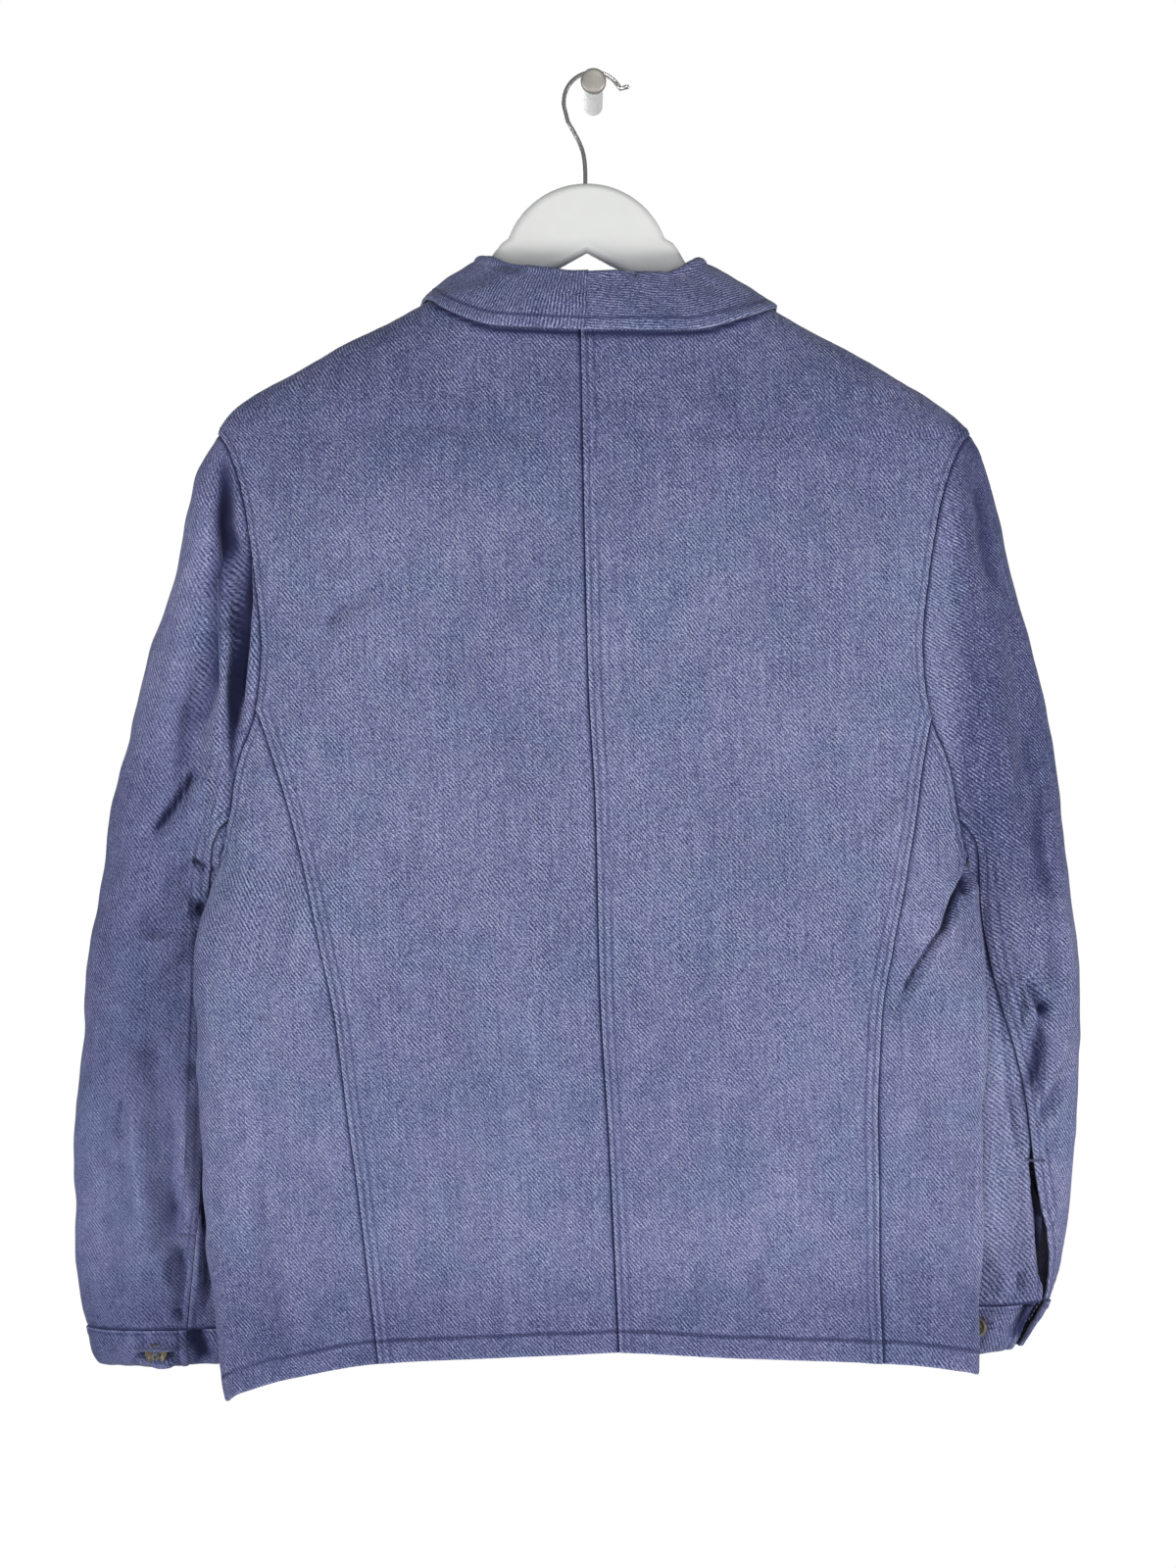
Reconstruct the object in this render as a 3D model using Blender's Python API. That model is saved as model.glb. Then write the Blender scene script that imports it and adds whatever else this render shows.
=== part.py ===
"""A denim work jacket, buttoned, hanging back outwards on a board hanger from a round wall peg.

Sizes are in millimetres until a mesh is made. X runs to the right of someone who faces the
wall, Y into the wall and Z up, from the centre of the peg's foot on the wall. "Drop" is the
distance below that point. Left and right are as seen when facing the wall, so the back of the
jacket shows and its left is also the wearer's left.
"""

import math

import bmesh
import bpy
import numpy as np
from mathutils import Matrix, Vector

MM = 0.001

# ---------------------------------------------------------------- driving sizes
CLOTH = 2.0  # wall of every cloth piece
SEAM_GAP = 0.3
HANG_Y = -65.0  # plane of the hanger and of the shoulder seams
NECK_DROP = 139.0  # where the shoulder seams meet the neck
BACK_NECK_DIP = 20.0
FRONT_NECK_DIP = 76.0
SHOULDER_DROP = 236.0  # outer ends of the shoulder seams
UNDERARM_DROP = 520.0
BUTTON_STAND = 16.0  # each front reaches this far past the centre
LAP_HEIGHT = 2.8  # of the left front over the right one
LAP_START, LAP_RUN = 0.9077, 0.0492  # in turns from the centre back
BODY_FULLNESS = 2.3  # 2 is an ellipse, more is a fuller section

BACK_COLUMNS = 10
FRONT_COLUMNS = 10
SIDE_COLUMNS = 5  # of a front, from its back seam to the side
STAND_COLUMNS = 2  # of a front, past the centre
SHOULDER_ROWS = 5
SKIRT_ROWS = 10  # underarm to hem
FIRST_ROW_SHARE = 0.4  # of an even row's height, so that the rows crowd at the underarm
MEAN_HEM_DROP = 850.0
ARMHOLE_STEPS = 10  # from the shoulder to the underarm, and again up the front
SIDE_SEAM_STEP = 6  # the armhole step where the back seam starts
HIND_SEAM_STEP = 8  # the armhole steps where the two sleeve seams start
FORE_SEAM_STEP = 13
ROWS_PER_SECTION = 2


def table(names, *rows):
    """A table as a dictionary of its named columns."""
    return dict(zip(names.split(), np.array(rows, float).T))


# Sections of the body: the ends of each section as seen from the back, and how far the
# back and the front stand out from the line between the ends.
BODY = table(
    "drop left right ends_y back front",
    (125, -70, 69, -65, 31, 26),
    (139, -97, 96, -65, 33, 28),
    (161, -138, 136, -65, 35, 30),
    (194, -199, 196, -65, 37, 33),
    (211, -230, 225, -65, 38, 35),
    (227, -247, 246, -66, 38, 36),
    (236, -252, 253, -66.2, 38, 36.4),
    (270, -255, 255, -67.3, 38, 37.8),
    (340, -258, 257, -69.7, 38, 40.2),
    (430, -257, 256, -72.6, 37.8, 42.6),
    (520, -249, 250, -75, 37.4, 44.2),
    (545, -257, 258, -75.5, 37.3, 44.5),
    (575, -265, 261, -75.9, 37.2, 44.7),
    (600, -268, 262, -76.2, 37, 44.8),
    (640, -266, 262, -76.5, 36.8, 44.8),
    (720, -262, 261, -76.8, 36.4, 44.6),
    (800, -256, 260, -77, 35.7, 44.2),
    (890, -245, 257, -77, 34.5, 43.5),
)

# The seams of the back.
CENTRE_BACK = table("drop x", (159, -8.5), (406, -3), (484, 1.5), (606, 4.5), (715, 11), (850, 17.5))
BACK_SEAMS = table(
    "drop left right",
    (421, -223, 225),
    (460, -210, 218),
    (490, -201, 214),
    (536, -189, 206),
    (578, -180, 198),
    (627, -170, 190),
    (689, -162, 187.5),
    (739, -155, 188.5),
    (781, -150, 188.5),
    (850, -142, 191),
)

# The hem, from the centre back (turn 0) round the side (0.5) to the centre front (1).
HEM = table(
    "turn left right",
    (0, 845, 845),
    (0.1, 849, 849),
    (0.2, 853.5, 852),
    (0.3, 864, 856),
    (0.4, 876, 862),
    (0.5, 884, 866),
    (0.6, 878, 866),
    (0.75, 868, 863),
    (1, 858, 858),
)

# How far the armhole reaches from the side towards the back and the front, in turns,
# from the shoulder (0) to the underarm (1).
ARMHOLE = table(
    "down back front",
    (0, 0, 0),
    (0.1, 0.075, 0.055),
    (0.2, 0.118, 0.095),
    (0.3, 0.146, 0.125),
    (0.4, 0.165, 0.145),
    (0.5, 0.175, 0.155),
    (0.6, 0.165, 0.15),
    (0.7, 0.118, 0.13),
    (0.8, 0.083, 0.1),
    (0.9, 0.045, 0.055),
    (1, 0, 0),
)

# Sections of the sleeves, from the armhole (first) to the seam of the cuff (last). Each is
# an oval between an outer and an inner point, and the hind seam lies at "seam" turns from
# the outer point towards the back.
SLEEVES = {
    -1: table(
        "outer_x outer_drop inner_x inner_drop middle_y half_depth seam",
        (-252, 236, -249, 520, -71, 22, 0.4),
        (-264.5, 260, -252, 528, -69, 25, 0.395),
        (-281, 326, -252, 536, -62, 28, 0.385),
        (-303, 391, -250, 548, -54, 30, 0.375),
        (-321, 458, -247, 566, -47, 31, 0.365),
        (-333.5, 524, -244, 590, -42, 31, 0.36),
        (-343.5, 591, -242, 625, -38, 30, 0.355),
        (-349, 658, -241, 675, -36, 29, 0.35),
        (-354, 739, -240, 740, -35, 28, 0.342),
        (-352.5, 792, -240, 793, -35, 27, 0.325),
        (-346, 841, -240, 841, -35, 26, 0.305),
    ),
    1: table(
        "outer_x outer_drop inner_x inner_drop middle_y half_depth seam",
        (253, 236, 250, 520, -71, 22, 0.4),
        (263.5, 260, 252.5, 528, -69, 25, 0.39),
        (282.5, 326, 253, 536, -62, 28, 0.38),
        (299.5, 391, 251, 548, -54, 30, 0.365),
        (312.5, 458, 247, 566, -47, 31, 0.35),
        (322, 524, 242, 590, -42, 31, 0.325),
        (330, 591, 237, 625, -37, 29, 0.285),
        (332.5, 659, 233, 675, -33, 27, 0.228),
        (327.5, 739, 229, 740, -31, 25, 0.175),
        (321, 793, 227, 792, -30, 24, 0.115),
        (313, 824, 226, 828, -30, 23, 0.085),
    ),
}
INNER_PINCH = 0.35  # how much flatter a sleeve is by its inner line than by its outer one
CAP_SECTIONS = 3  # the sections over which a sleeve leaves the armhole's shape
FOLD_SECTIONS = 0.6  # and over which its folds start
FORE_SEAM = table("section turn", (0, 0.65), (5, 0.63), (10, 0.62))
# The vent is the open foot of the hind seam, above the cuff.
VENT_START = 8.4  # in sections
VENT_OPENING = {-1: 0.8, 1: 9.0}
VENT_UNDER_SHARE = 0.6  # of half the opening, on the under sleeve's side
SLEEVE_GIRTH = 283.0  # at the vent

# The cuffs, below their seam. Their last stretch turns in under the wrist.
CUFFS = {
    -1: table(
        "outer_x outer_drop inner_x inner_drop middle_y half_depth",
        (-346, 841, -240, 841, -35, 26),
        (-343.5, 853, -241, 853, -35, 26),
        (-340.5, 861.5, -242, 861.5, -35, 23),
        (-338, 867, -243, 867, -34, 13),
    ),
    1: table(
        "outer_x outer_drop inner_x inner_drop middle_y half_depth",
        (313, 824, 226, 828, -30, 23),
        (308, 834, 227, 841, -30, 23),
        (302, 845, 228, 854, -30, 20),
        (295, 856, 230, 865, -29, 12),
    ),
}
CUFF_UNDERLAP = {-1: 0.11, 1: 0.0}  # in turns, tucked in behind the buttonhole end
CUFF_TUCK = 6.5  # how far in behind it
TUCK_START = 0.07  # in turns past the buttonhole end
TUCK_RUN = 0.09

# The collar, from the centre back (0 degrees) to the centre front (180): its roll line
# and its outer edge.
COLLAR = {
    -1: table(
        "around roll_x roll_y roll_drop edge_x edge_y edge_drop",
        (0, -4, -99, 131, -6, -111, 171.5),
        (35, -45, -95, 127, -64, -106.5, 168),
        (65, -69, -82, 118.5, -101, -91.5, 153.5),
        (78, -73.5, -74, 116.8, -109, -80, 147),
        (90, -76, -65, 116, -114, -67, 144.5),
        (120, -70, -47, 125, -119, -42, 167),
        (150, -42, -31, 158, -106, -27.5, 222),
        (180, -4, -24, 206, -74, -21.5, 268),
    ),
    1: table(
        "around roll_x roll_y roll_drop edge_x edge_y edge_drop",
        (0, -3, -99, 131, -5, -111, 171.5),
        (35, 44, -95, 131, 62, -107, 171),
        (65, 66, -82, 121, 107, -92, 158),
        (78, 69.5, -74, 119, 118.5, -81, 152.5),
        (90, 71, -65, 118, 124, -67, 149.5),
        (120, 68, -47, 126, 121, -42, 170),
        (150, 42, -31, 158, 106, -27.5, 222),
        (180, 4, -24, 206, 74, -21.5, 268),
    ),
}
STAND_LEAN = 0.25  # how far the outside of the stand faces up, at the shoulders
COLLAR_ROLL = 4.2  # half the width of the roll
COLLAR_BULGE = 2.5  # of the leaf, outwards
COLLAR_CLEARANCE = 3.2  # from the outside of the body to the outside of the leaf
COLLAR_STAND_ROWS = 3
COLLAR_ROLL_ROWS = 4
COLLAR_LEAF_ROWS = 4

# The largest folds: a line from (x1, drop1) to (x2, drop2) on the side that faces out
# of the wall (back) or the wall (front), its half width, and its height, below 0 for a
# trough.
BODY_FOLDS = {
    "back": table(
        "x1 drop1 x2 drop2 half_width height",
        (246, 522, 207, 586, 12, -7),
        (207, 586, 190, 622, 12, -3),
        (236, 512, 215, 560, 14, 4),
        (-236, 480, -252, 690, 16, 3),
        (-70, 640, -58, 850, 34, 3),
        (88, 560, 100, 850, 36, 3),
        (-110, 700, -118, 860, 26, -3),
        (52, 700, 46, 850, 22, -2.5),
    ),
    "front": table(
        "x1 drop1 x2 drop2 half_width height",
        (-214, 530, -160, 640, 14, -4),
        (212, 530, 150, 650, 14, -4),
        (-120, 560, -112, 860, 32, 3),
        (118, 540, 106, 860, 34, 3),
        (-60, 640, -56, 860, 24, -2.5),
        (64, 620, 60, 860, 24, -2.5),
    ),
}
SLEEVE_FOLDS = {
    -1: table(
        "x1 drop1 x2 drop2 half_width height",
        (-238, 290, -234, 420, 11, -9),
        (-248, 300, -252, 470, 9, 3),
        (-262, 290, -268, 480, 11, -7),
        (-258, 510, -300, 575, 11, -5),
        (-262, 540, -304, 620, 12, 4),
        (-296, 640, -290, 740, 12, -3),
        (-316, 700, -300, 800, 12, 3),
    ),
    1: table(
        "x1 drop1 x2 drop2 half_width height",
        (286, 330, 303, 520, 11, -4),
        (303, 520, 306, 610, 10, -7),
        (282, 600, 300, 640, 10, 4),
        (300, 640, 280, 690, 9, -5),
        (322, 600, 296, 680, 11, 4),
        (262, 380, 272, 520, 14, 3),
    ),
}

# Buttons.
BUTTON_RADIUS = 9.5
BUTTON_THICKNESS = 3.4
BUTTON_DROPS = (232, 352, 472, 592, 712)
CUFF_BUTTON_RADIUS = 7.5
CUFF_BUTTON = {-1: (0.238, 1.35), 1: (-0.72, 1.1)}  # turn and section on its cuff
BUTTON_SIDES = 12
BUTTON_PROFILE = (  # shares of the radius and of the thickness
    (0.0, 0.0),
    (0.86, 0.0),
    (1.0, 0.45),
    (0.93, 1.0),
    (0.72, 1.0),
    (0.6, 0.7),
    (0.0, 0.62),
)

# The peg and the hanger.
PEG_RADIUS = 6.5
PEG_PROFILE = (  # radius and y, from the foot on the wall to the tip
    (0.0, 0.0),
    (PEG_RADIUS, 0.0),
    (PEG_RADIUS, -70.0),
    (7.8, -70.8),
    (8.6, -72.0),
    (8.6, -76.5),
    (7.1, -78.0),
    (0.0, -78.5),
)
PEG_SIDES = 28
WIRE_RADIUS = 1.5
HOOK_RADIUS = 20.0
HOOK_ARC = (26, 190)  # degrees, from the tip's side over the peg
HOOK_TIP = ((23.0, 10.2), (20.6, 9.6))  # x, and height above the arc's centre
STEM_X = -5.5
HOOK_NECK = table(
    "x drop", (-17.2, 25), (-13.2, 32), (-9.6, 39), (-7, 46), (-5.9, 53), (STEM_X, 60)
)
BOARD_THICKNESS = 14.0
BOARD_EDGE = 5.5
BOARD_X = -4.6  # middle of the board's dome
DOME_RADIUS = 56.0
DOME_TOP_DROP = 67.0
ARM_BELOW_RIDGE = 4.6  # the arms' top edge below the outside of the shoulder seams
ARM_DROPS = (146.0, 161.0, 177.0, 194.0, 204.0)
ARM_END = 222.0
ARM_TIP = table("inwards below", (4, 5.5), (0, 12))  # from the arm's end and its last top point
# Where the dome flares into the arms, inside the collar.
ARM_ROOT = table(
    "drop left right",
    (107, -61.5, 53.5),
    (112.5, -66, 57.5),
    (117, -69, 60),
    (123, -71.5, 64),
    (132, -80.5, 74),
    (140.5, -90, 86),
)
ARM_APEX_DROP = 113.5
ARM_UNDERSIDE_SLOPE = 0.548
ARM_CORNER = 8.0  # of the arm's end, underneath
STEM_DEPTH = 18.0
STEM_CLEARANCE = 0.4

COLOURS = {
    "denim": ((0.17, 0.185, 0.335), 0.85, 0.0),
    "horn": ((0.10, 0.06, 0.035), 0.35, 0.0),
    "board": ((0.83, 0.84, 0.82), 0.4, 0.0),
    "wire": ((0.55, 0.54, 0.52), 0.25, 1.0),
    "peg": ((0.36, 0.33, 0.31), 0.4, 1.0),
}


# ---------------------------------------------------------------- reading the tables
def read(columns, name, at):
    """One column of a table at any value of its first column, as a smooth curve with no overshoot."""
    x = next(iter(columns.values()))
    y = columns[name]
    step = np.diff(x)
    slope = np.diff(y) / step
    tangent = np.empty_like(y)
    tangent[0], tangent[-1] = slope[0], slope[-1]
    before, after = slope[:-1], slope[1:]
    same_way = before * after > 0
    total = np.where(same_way, before + after, 1)
    tangent[1:-1] = np.where(same_way, 2 * before * after / total, 0)
    at = np.asarray(at, float)
    i = np.clip(np.searchsorted(x, at) - 1, 0, len(x) - 2)
    s = np.clip((at - x[i]) / step[i], 0, 1)
    return (
        y[i] * (1 + 2 * s) * (1 - s) ** 2
        + tangent[i] * step[i] * s * (1 - s) ** 2
        + y[i + 1] * s * s * (3 - 2 * s)
        + tangent[i + 1] * step[i] * s * s * (s - 1)
    )


def numbered(columns):
    """A table without a first column of its own, read by row number."""
    rows = len(next(iter(columns.values())))
    return {"row": np.arange(rows, dtype=float), **columns}


def folds_at(folds, x, drop):
    """Height of a set of folds at a place, each a soft ridge or trough that fades at its ends."""
    total = np.zeros(np.broadcast(x, drop).shape)
    for x1, d1, x2, d2, half_width, height in zip(*folds.values()):
        along_x, along_d = x2 - x1, d2 - d1
        length = math.hypot(along_x, along_d)
        s = ((x - x1) * along_x + (drop - d1) * along_d) / length**2
        off = ((x - x1) * along_d - (drop - d1) * along_x) / length
        fade = np.clip(s * 4 + 0.25, 0, 1) * np.clip((1 - s) * 4 + 0.25, 0, 1)
        total = total + height * np.exp(-((off / half_width) ** 2)) * fade * fade * (3 - 2 * fade)
    return total


def unit(vectors):
    return vectors / np.linalg.norm(vectors, axis=-1, keepdims=True)


# ---------------------------------------------------------------- the body
def body_point(turn, drop):
    """A point outside the body: turn 0 is the centre back, -0.5 and 0.5 the sides, 1 the centre front."""
    turn, drop = np.broadcast_arrays(np.asarray(turn, float), np.asarray(drop, float))
    turn = np.where(turn > 1, turn - 2, np.where(turn < -1, turn + 2, turn))
    to_side = np.sin(np.pi * np.abs(turn))
    behind = np.abs(turn) < 0.5
    end = np.where(turn < 0, read(BODY, "left", drop), read(BODY, "right", drop))
    centre = np.where(behind, read(CENTRE_BACK, "x", drop), 0.0)
    x = end * to_side + centre * (1 - to_side)
    fullness = (1 - to_side**BODY_FULLNESS) ** (1 / BODY_FULLNESS)
    back = read(BODY, "back", drop) + folds_at(BODY_FOLDS["back"], x, drop)
    front = read(BODY, "front", drop) + folds_at(BODY_FOLDS["front"], x, drop)
    y = read(BODY, "ends_y", drop) + fullness * np.where(behind, -back, front)
    return np.stack([x, y, -drop], axis=-1)


def body_normal(turn, drop):
    turn, drop = np.asarray(turn, float), np.asarray(drop, float)
    across = body_point(turn + 0.002, drop) - body_point(turn - 0.002, drop)
    down = body_point(turn, drop + 0.5) - body_point(turn, drop - 0.5)
    return -unit(np.cross(across, down))


def seam_turn(side, drop):
    """Turn of a back seam at a drop, without its sign."""
    x = read(BACK_SEAMS, "left" if side < 0 else "right", drop)
    end = read(BODY, "left" if side < 0 else "right", drop)
    centre = read(CENTRE_BACK, "x", drop)
    return np.arcsin(np.clip((x - centre) / (end - centre), 0, 1)) / np.pi


def armhole(side, step):
    """Turn and drop of the armhole, from step 0 at the shoulder down the back, and up the front."""
    step = np.asarray(step, float)
    down = 1 - np.abs(1 - step / ARMHOLE_STEPS)
    reach = np.where(
        step <= ARMHOLE_STEPS,
        -read(ARMHOLE, "back", down),
        read(ARMHOLE, "front", down),
    )
    height = UNDERARM_DROP - SHOULDER_DROP
    return side * (0.5 + reach), SHOULDER_DROP + height * (1 - np.cos(np.pi * down)) / 2


def neckline(side, around):
    """Turn and drop of the neck seam, from the centre back (0 degrees) to the centre front (180)."""
    angle = np.radians(np.asarray(around, float))
    dip = np.where(angle < np.pi / 2, BACK_NECK_DIP, FRONT_NECK_DIP)
    drop = NECK_DROP + dip * np.abs(np.cos(angle))
    name = "left" if side < 0 else "right"
    centre = np.where(angle < np.pi / 2, read(CENTRE_BACK, "x", drop), 0.0)
    x = read(BODY, name, NECK_DROP) * np.sin(angle) + centre * (1 - np.sin(angle))
    share = np.clip((x - centre) / (read(BODY, name, drop) - centre), 0, 1)
    turn = np.arcsin(share) / np.pi
    return side * np.where(angle < np.pi / 2, turn, 1 - turn), drop


def hem_drop(turn):
    return np.where(
        turn < 0, read(HEM, "left", np.abs(turn)), read(HEM, "right", np.abs(turn))
    )


def patch_between(top, bottom, first, last):
    """A net of (turn, drop) between four edges that share their corners."""
    down = np.linspace(0, 1, first.shape[1])[:, None]
    across = np.linspace(0, 1, top.shape[1])[None, :]
    return [
        (1 - down) * top[k]
        + down * bottom[k]
        + (1 - across) * first[k][:, None]
        + across * last[k][:, None]
        - (1 - down) * ((1 - across) * top[k][0] + across * top[k][-1])
        - down * ((1 - across) * bottom[k][0] + across * bottom[k][-1])
        for k in (0, 1)
    ]


def skirt_rows(turn_of_column):
    """A net from the underarm to the hem. turn_of_column gives each row's turns from its mean drop."""
    share = np.linspace(0, 1, SKIRT_ROWS + 1)
    share = share * (FIRST_ROW_SHARE + (1 - FIRST_ROW_SHARE) * share)
    drop = UNDERARM_DROP + share * (MEAN_HEM_DROP - UNDERARM_DROP)
    turn = np.array([turn_of_column(d) for d in drop])
    return turn, UNDERARM_DROP + share[:, None] * (hem_drop(turn) - UNDERARM_DROP)


def shoulder_net(side, columns, centre_turn, around):
    """The net above the armhole, from the neck seam and the shoulder seam to the shoulder's end."""
    rows = np.linspace(0, 1, SHOULDER_ROWS + 1)
    top = np.array(neckline(side, around))
    across = np.linspace(0, 1, columns + 1)
    bottom = np.array(
        [side * 0.5 + (centre_turn - side * 0.5) * across, np.full(columns + 1, SHOULDER_DROP)]
    )
    seam = np.array(
        [np.full(len(rows), side * 0.5), NECK_DROP + rows * (SHOULDER_DROP - NECK_DROP)]
    )
    centre_drop = top[1][-1]
    centre = np.array(
        [np.full(len(rows), centre_turn), centre_drop + rows * (SHOULDER_DROP - centre_drop)]
    )
    return patch_between(top, bottom, seam, centre)


def back_net(side):
    """Turns and drops of a back, in rows from the neck to the hem and from its outer edge to the centre."""
    around = np.linspace(90, 0, BACK_COLUMNS + 1)
    across = np.linspace(0, 1, BACK_COLUMNS + 1)
    turn, drop = shoulder_net(side, BACK_COLUMNS, 0.0, around)
    turns, drops = [turn], [drop]
    for step in range(1, ARMHOLE_STEPS):
        edge, level = armhole(side, step)
        if step > SIDE_SEAM_STEP:
            edge = side * seam_turn(side, level)
        turns.append(edge * (1 - across)[None, :])
        drops.append(np.full((1, BACK_COLUMNS + 1), level))
    turn, drop = skirt_rows(lambda d: side * seam_turn(side, d) * (1 - across))
    return np.vstack([*turns, turn]), np.vstack([*drops, drop])


def front_nets(side):
    """The two nets of a front: all of it but the strip behind the underarm, and that strip."""
    across = np.linspace(0, 1, FRONT_COLUMNS + 1)
    around = np.linspace(90, 180, FRONT_COLUMNS + 1)
    turn, drop = shoulder_net(side, FRONT_COLUMNS, side * 1.0, around)
    turns, drops = [turn], [drop]
    for step in range(1, ARMHOLE_STEPS):
        edge, level = armhole(side, 2 * ARMHOLE_STEPS - step)
        turns.append((edge + (side - edge) * across)[None, :])
        drops.append(np.full((1, FRONT_COLUMNS + 1), level))
    turn, drop = skirt_rows(lambda d: side * (0.5 + 0.5 * across))
    main = [np.vstack([*turns, turn]), np.vstack([*drops, drop])]
    stand = [
        side + side * k * BUTTON_STAND / STAND_COLUMNS / (np.pi * read(BODY, "right", main[1][:, -1:]))
        for k in range(1, STAND_COLUMNS + 1)
    ]
    main[0] = np.hstack([main[0], *stand])
    main[1] = np.hstack([main[1]] + [main[1][:, -1:]] * STAND_COLUMNS)

    across = np.linspace(0, 1, SIDE_COLUMNS + 1)
    turns, drops = [], []
    for step in range(SIDE_SEAM_STEP, ARMHOLE_STEPS):
        edge, level = armhole(side, step)
        first = side * seam_turn(side, level) if step > SIDE_SEAM_STEP else edge
        turns.append(first + (edge - first) * across)
        drops.append(np.full(SIDE_COLUMNS + 1, level))
    turn, drop = skirt_rows(
        lambda d: side * (seam_turn(side, d) + (0.5 - seam_turn(side, d)) * across)
    )
    return main, [np.vstack([*turns, turn]), np.vstack([*drops, drop])]


# ---------------------------------------------------------------- the sleeves
def oval(sections, turn, row):
    """A point of a tube: turn 0 is its outer line, 0.25 its back, 0.5 its inner line and 0.75 its front."""
    at = {name: read(sections, name, row) for name in sections if name != "row"}
    outer = np.stack([at["outer_x"], at["middle_y"], -at["outer_drop"]], axis=-1)
    inner = np.stack([at["inner_x"], at["middle_y"], -at["inner_drop"]], axis=-1)
    angle = 2 * np.pi * np.asarray(turn, float)[..., None]
    inwards = (1 - np.cos(angle[..., 0])) / 2
    reach = at["half_depth"] * (1 - INNER_PINCH * inwards)
    depth = np.stack([0 * reach, -reach, 0 * reach], axis=-1)
    return (outer + inner) / 2 + (outer - inner) / 2 * np.cos(angle) + depth * np.sin(angle)


def sleeve_point(side, turn, row):
    """A point outside a sleeve, row 0 on the armhole and the last row on the cuff's seam."""
    turn, row = np.broadcast_arrays(np.asarray(turn, float), np.asarray(row, float))
    sections = numbered(SLEEVES[side])
    point = oval(sections, turn, row)
    step = np.mod(turn, 1) * 2 * ARMHOLE_STEPS
    hole = body_point(*armhole(side, step))
    drift = hole - oval(sections, turn, 0 * row)
    point = point + drift * (np.clip(1 - row / CAP_SECTIONS, 0, 1) ** 2)[..., None]
    behind = np.clip(np.sin(2 * np.pi * turn), 0, 1) ** 0.7 * np.clip(row / FOLD_SECTIONS, 0, 1)
    point[..., 1] -= behind * folds_at(SLEEVE_FOLDS[side], point[..., 0], -point[..., 2])
    return point


def sleeve_normal(side, turn, row):
    turn, row = np.asarray(turn, float), np.asarray(row, float)
    across = sleeve_point(side, turn + 0.004, row) - sleeve_point(side, turn - 0.004, row)
    down = sleeve_point(side, turn, row + 0.04) - sleeve_point(side, turn, np.maximum(row - 0.04, 0))
    return -side * unit(np.cross(down, across))


def mitred(first, second):
    """The wall's depth at a seam, shared by two pieces whose outward normals are given."""
    middle = unit(first + second)
    lean = np.clip(np.sum(middle * first, axis=-1, keepdims=True), 0.8, 1)
    return middle * CLOTH / lean


def armhole_depth(side, step):
    """The wall's depth along the armhole, shared by the body and the sleeve."""
    step = np.asarray(step, float)
    turn = step / (2 * ARMHOLE_STEPS)
    return mitred(body_normal(*armhole(side, step)), sleeve_normal(side, turn, 0.3 + 0 * step))


def sleeve_panel(side, name, first_step, last_step):
    """One piece of a sleeve, between two armhole steps and two seams."""
    sections = numbered(SLEEVES[side])
    last_row = len(SLEEVES[side]["seam"]) - 1
    rows = np.linspace(0, last_row, last_row * ROWS_PER_SECTION + 1)
    steps = np.arange(first_step, last_step + 1)
    share = (steps - first_step) / (last_step - first_step)
    hind = read(sections, "seam", rows)
    fore = read(FORE_SEAM, "turn", rows)
    if name == "upper":
        start, end = fore - 1, hind - vent_turns(side, rows)
    else:
        start, end = hind + vent_turns(side, rows) * VENT_UNDER_SHARE, fore
    turn = start[:, None] + (end - start)[:, None] * share[None, :]
    row = np.repeat(rows[:, None], len(steps), axis=1)
    blend = np.clip(row / 2, 0, 1)
    turn = turn * blend + (steps / (2 * ARMHOLE_STEPS))[None, :] * (1 - blend)
    points = sleeve_point(side, turn, row)
    depths = sleeve_normal(side, turn, row) * CLOTH
    points[0] = body_point(*armhole(side, np.mod(steps, 2 * ARMHOLE_STEPS)))
    depths[0] = armhole_depth(side, np.mod(steps, 2 * ARMHOLE_STEPS))
    return points, depths


def vent_turns(side, row):
    """Half the vent's opening, in turns of the sleeve."""
    last_row = len(SLEEVES[side]["seam"]) - 1
    opened = np.clip((row - VENT_START) / (last_row - VENT_START), 0, 1)
    return VENT_OPENING[side] / SLEEVE_GIRTH / 2 * np.sqrt(opened)


def back_from_edge(points, edge, gap=SEAM_GAP):
    """Draws one edge of a net back towards its neighbours, to leave a seam's gap."""
    inward = {"top": (0, 1), "bottom": (-1, -2)}.get(edge)
    if inward:
        row, beside = inward
        points[row] += unit(points[beside] - points[row]) * gap
        return
    column, beside = {"first": (0, 1), "last": (-1, -2)}[edge]
    points[:, column] += unit(points[:, beside] - points[:, column]) * gap


# ---------------------------------------------------------------- meshes
def material(name):
    """The Principled material of a finish, made once."""
    found = bpy.data.materials.get(name)
    if found:
        return found
    colour, roughness, metallic = COLOURS[name]
    made = bpy.data.materials.new(name)
    made.use_nodes = True
    shader = made.node_tree.nodes["Principled BSDF"]
    shader.inputs["Base Color"].default_value = (*colour, 1)
    shader.inputs["Roughness"].default_value = roughness
    shader.inputs["Metallic"].default_value = metallic
    return made


def add_object(name, data, finish):
    obj = bpy.data.objects.new(name, data)
    bpy.context.scene.collection.objects.link(obj)
    data.materials.append(material(finish))
    return obj


def add_mesh(name, points, faces, finish):
    mesh = bpy.data.meshes.new(name)
    mesh.from_pydata([tuple(p * MM for p in point) for point in points], [], faces)
    mesh.validate()
    mesh.shade_smooth()
    mesh.set_sharp_from_angle(angle=math.radians(50))
    return add_object(name, mesh, finish)


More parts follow.
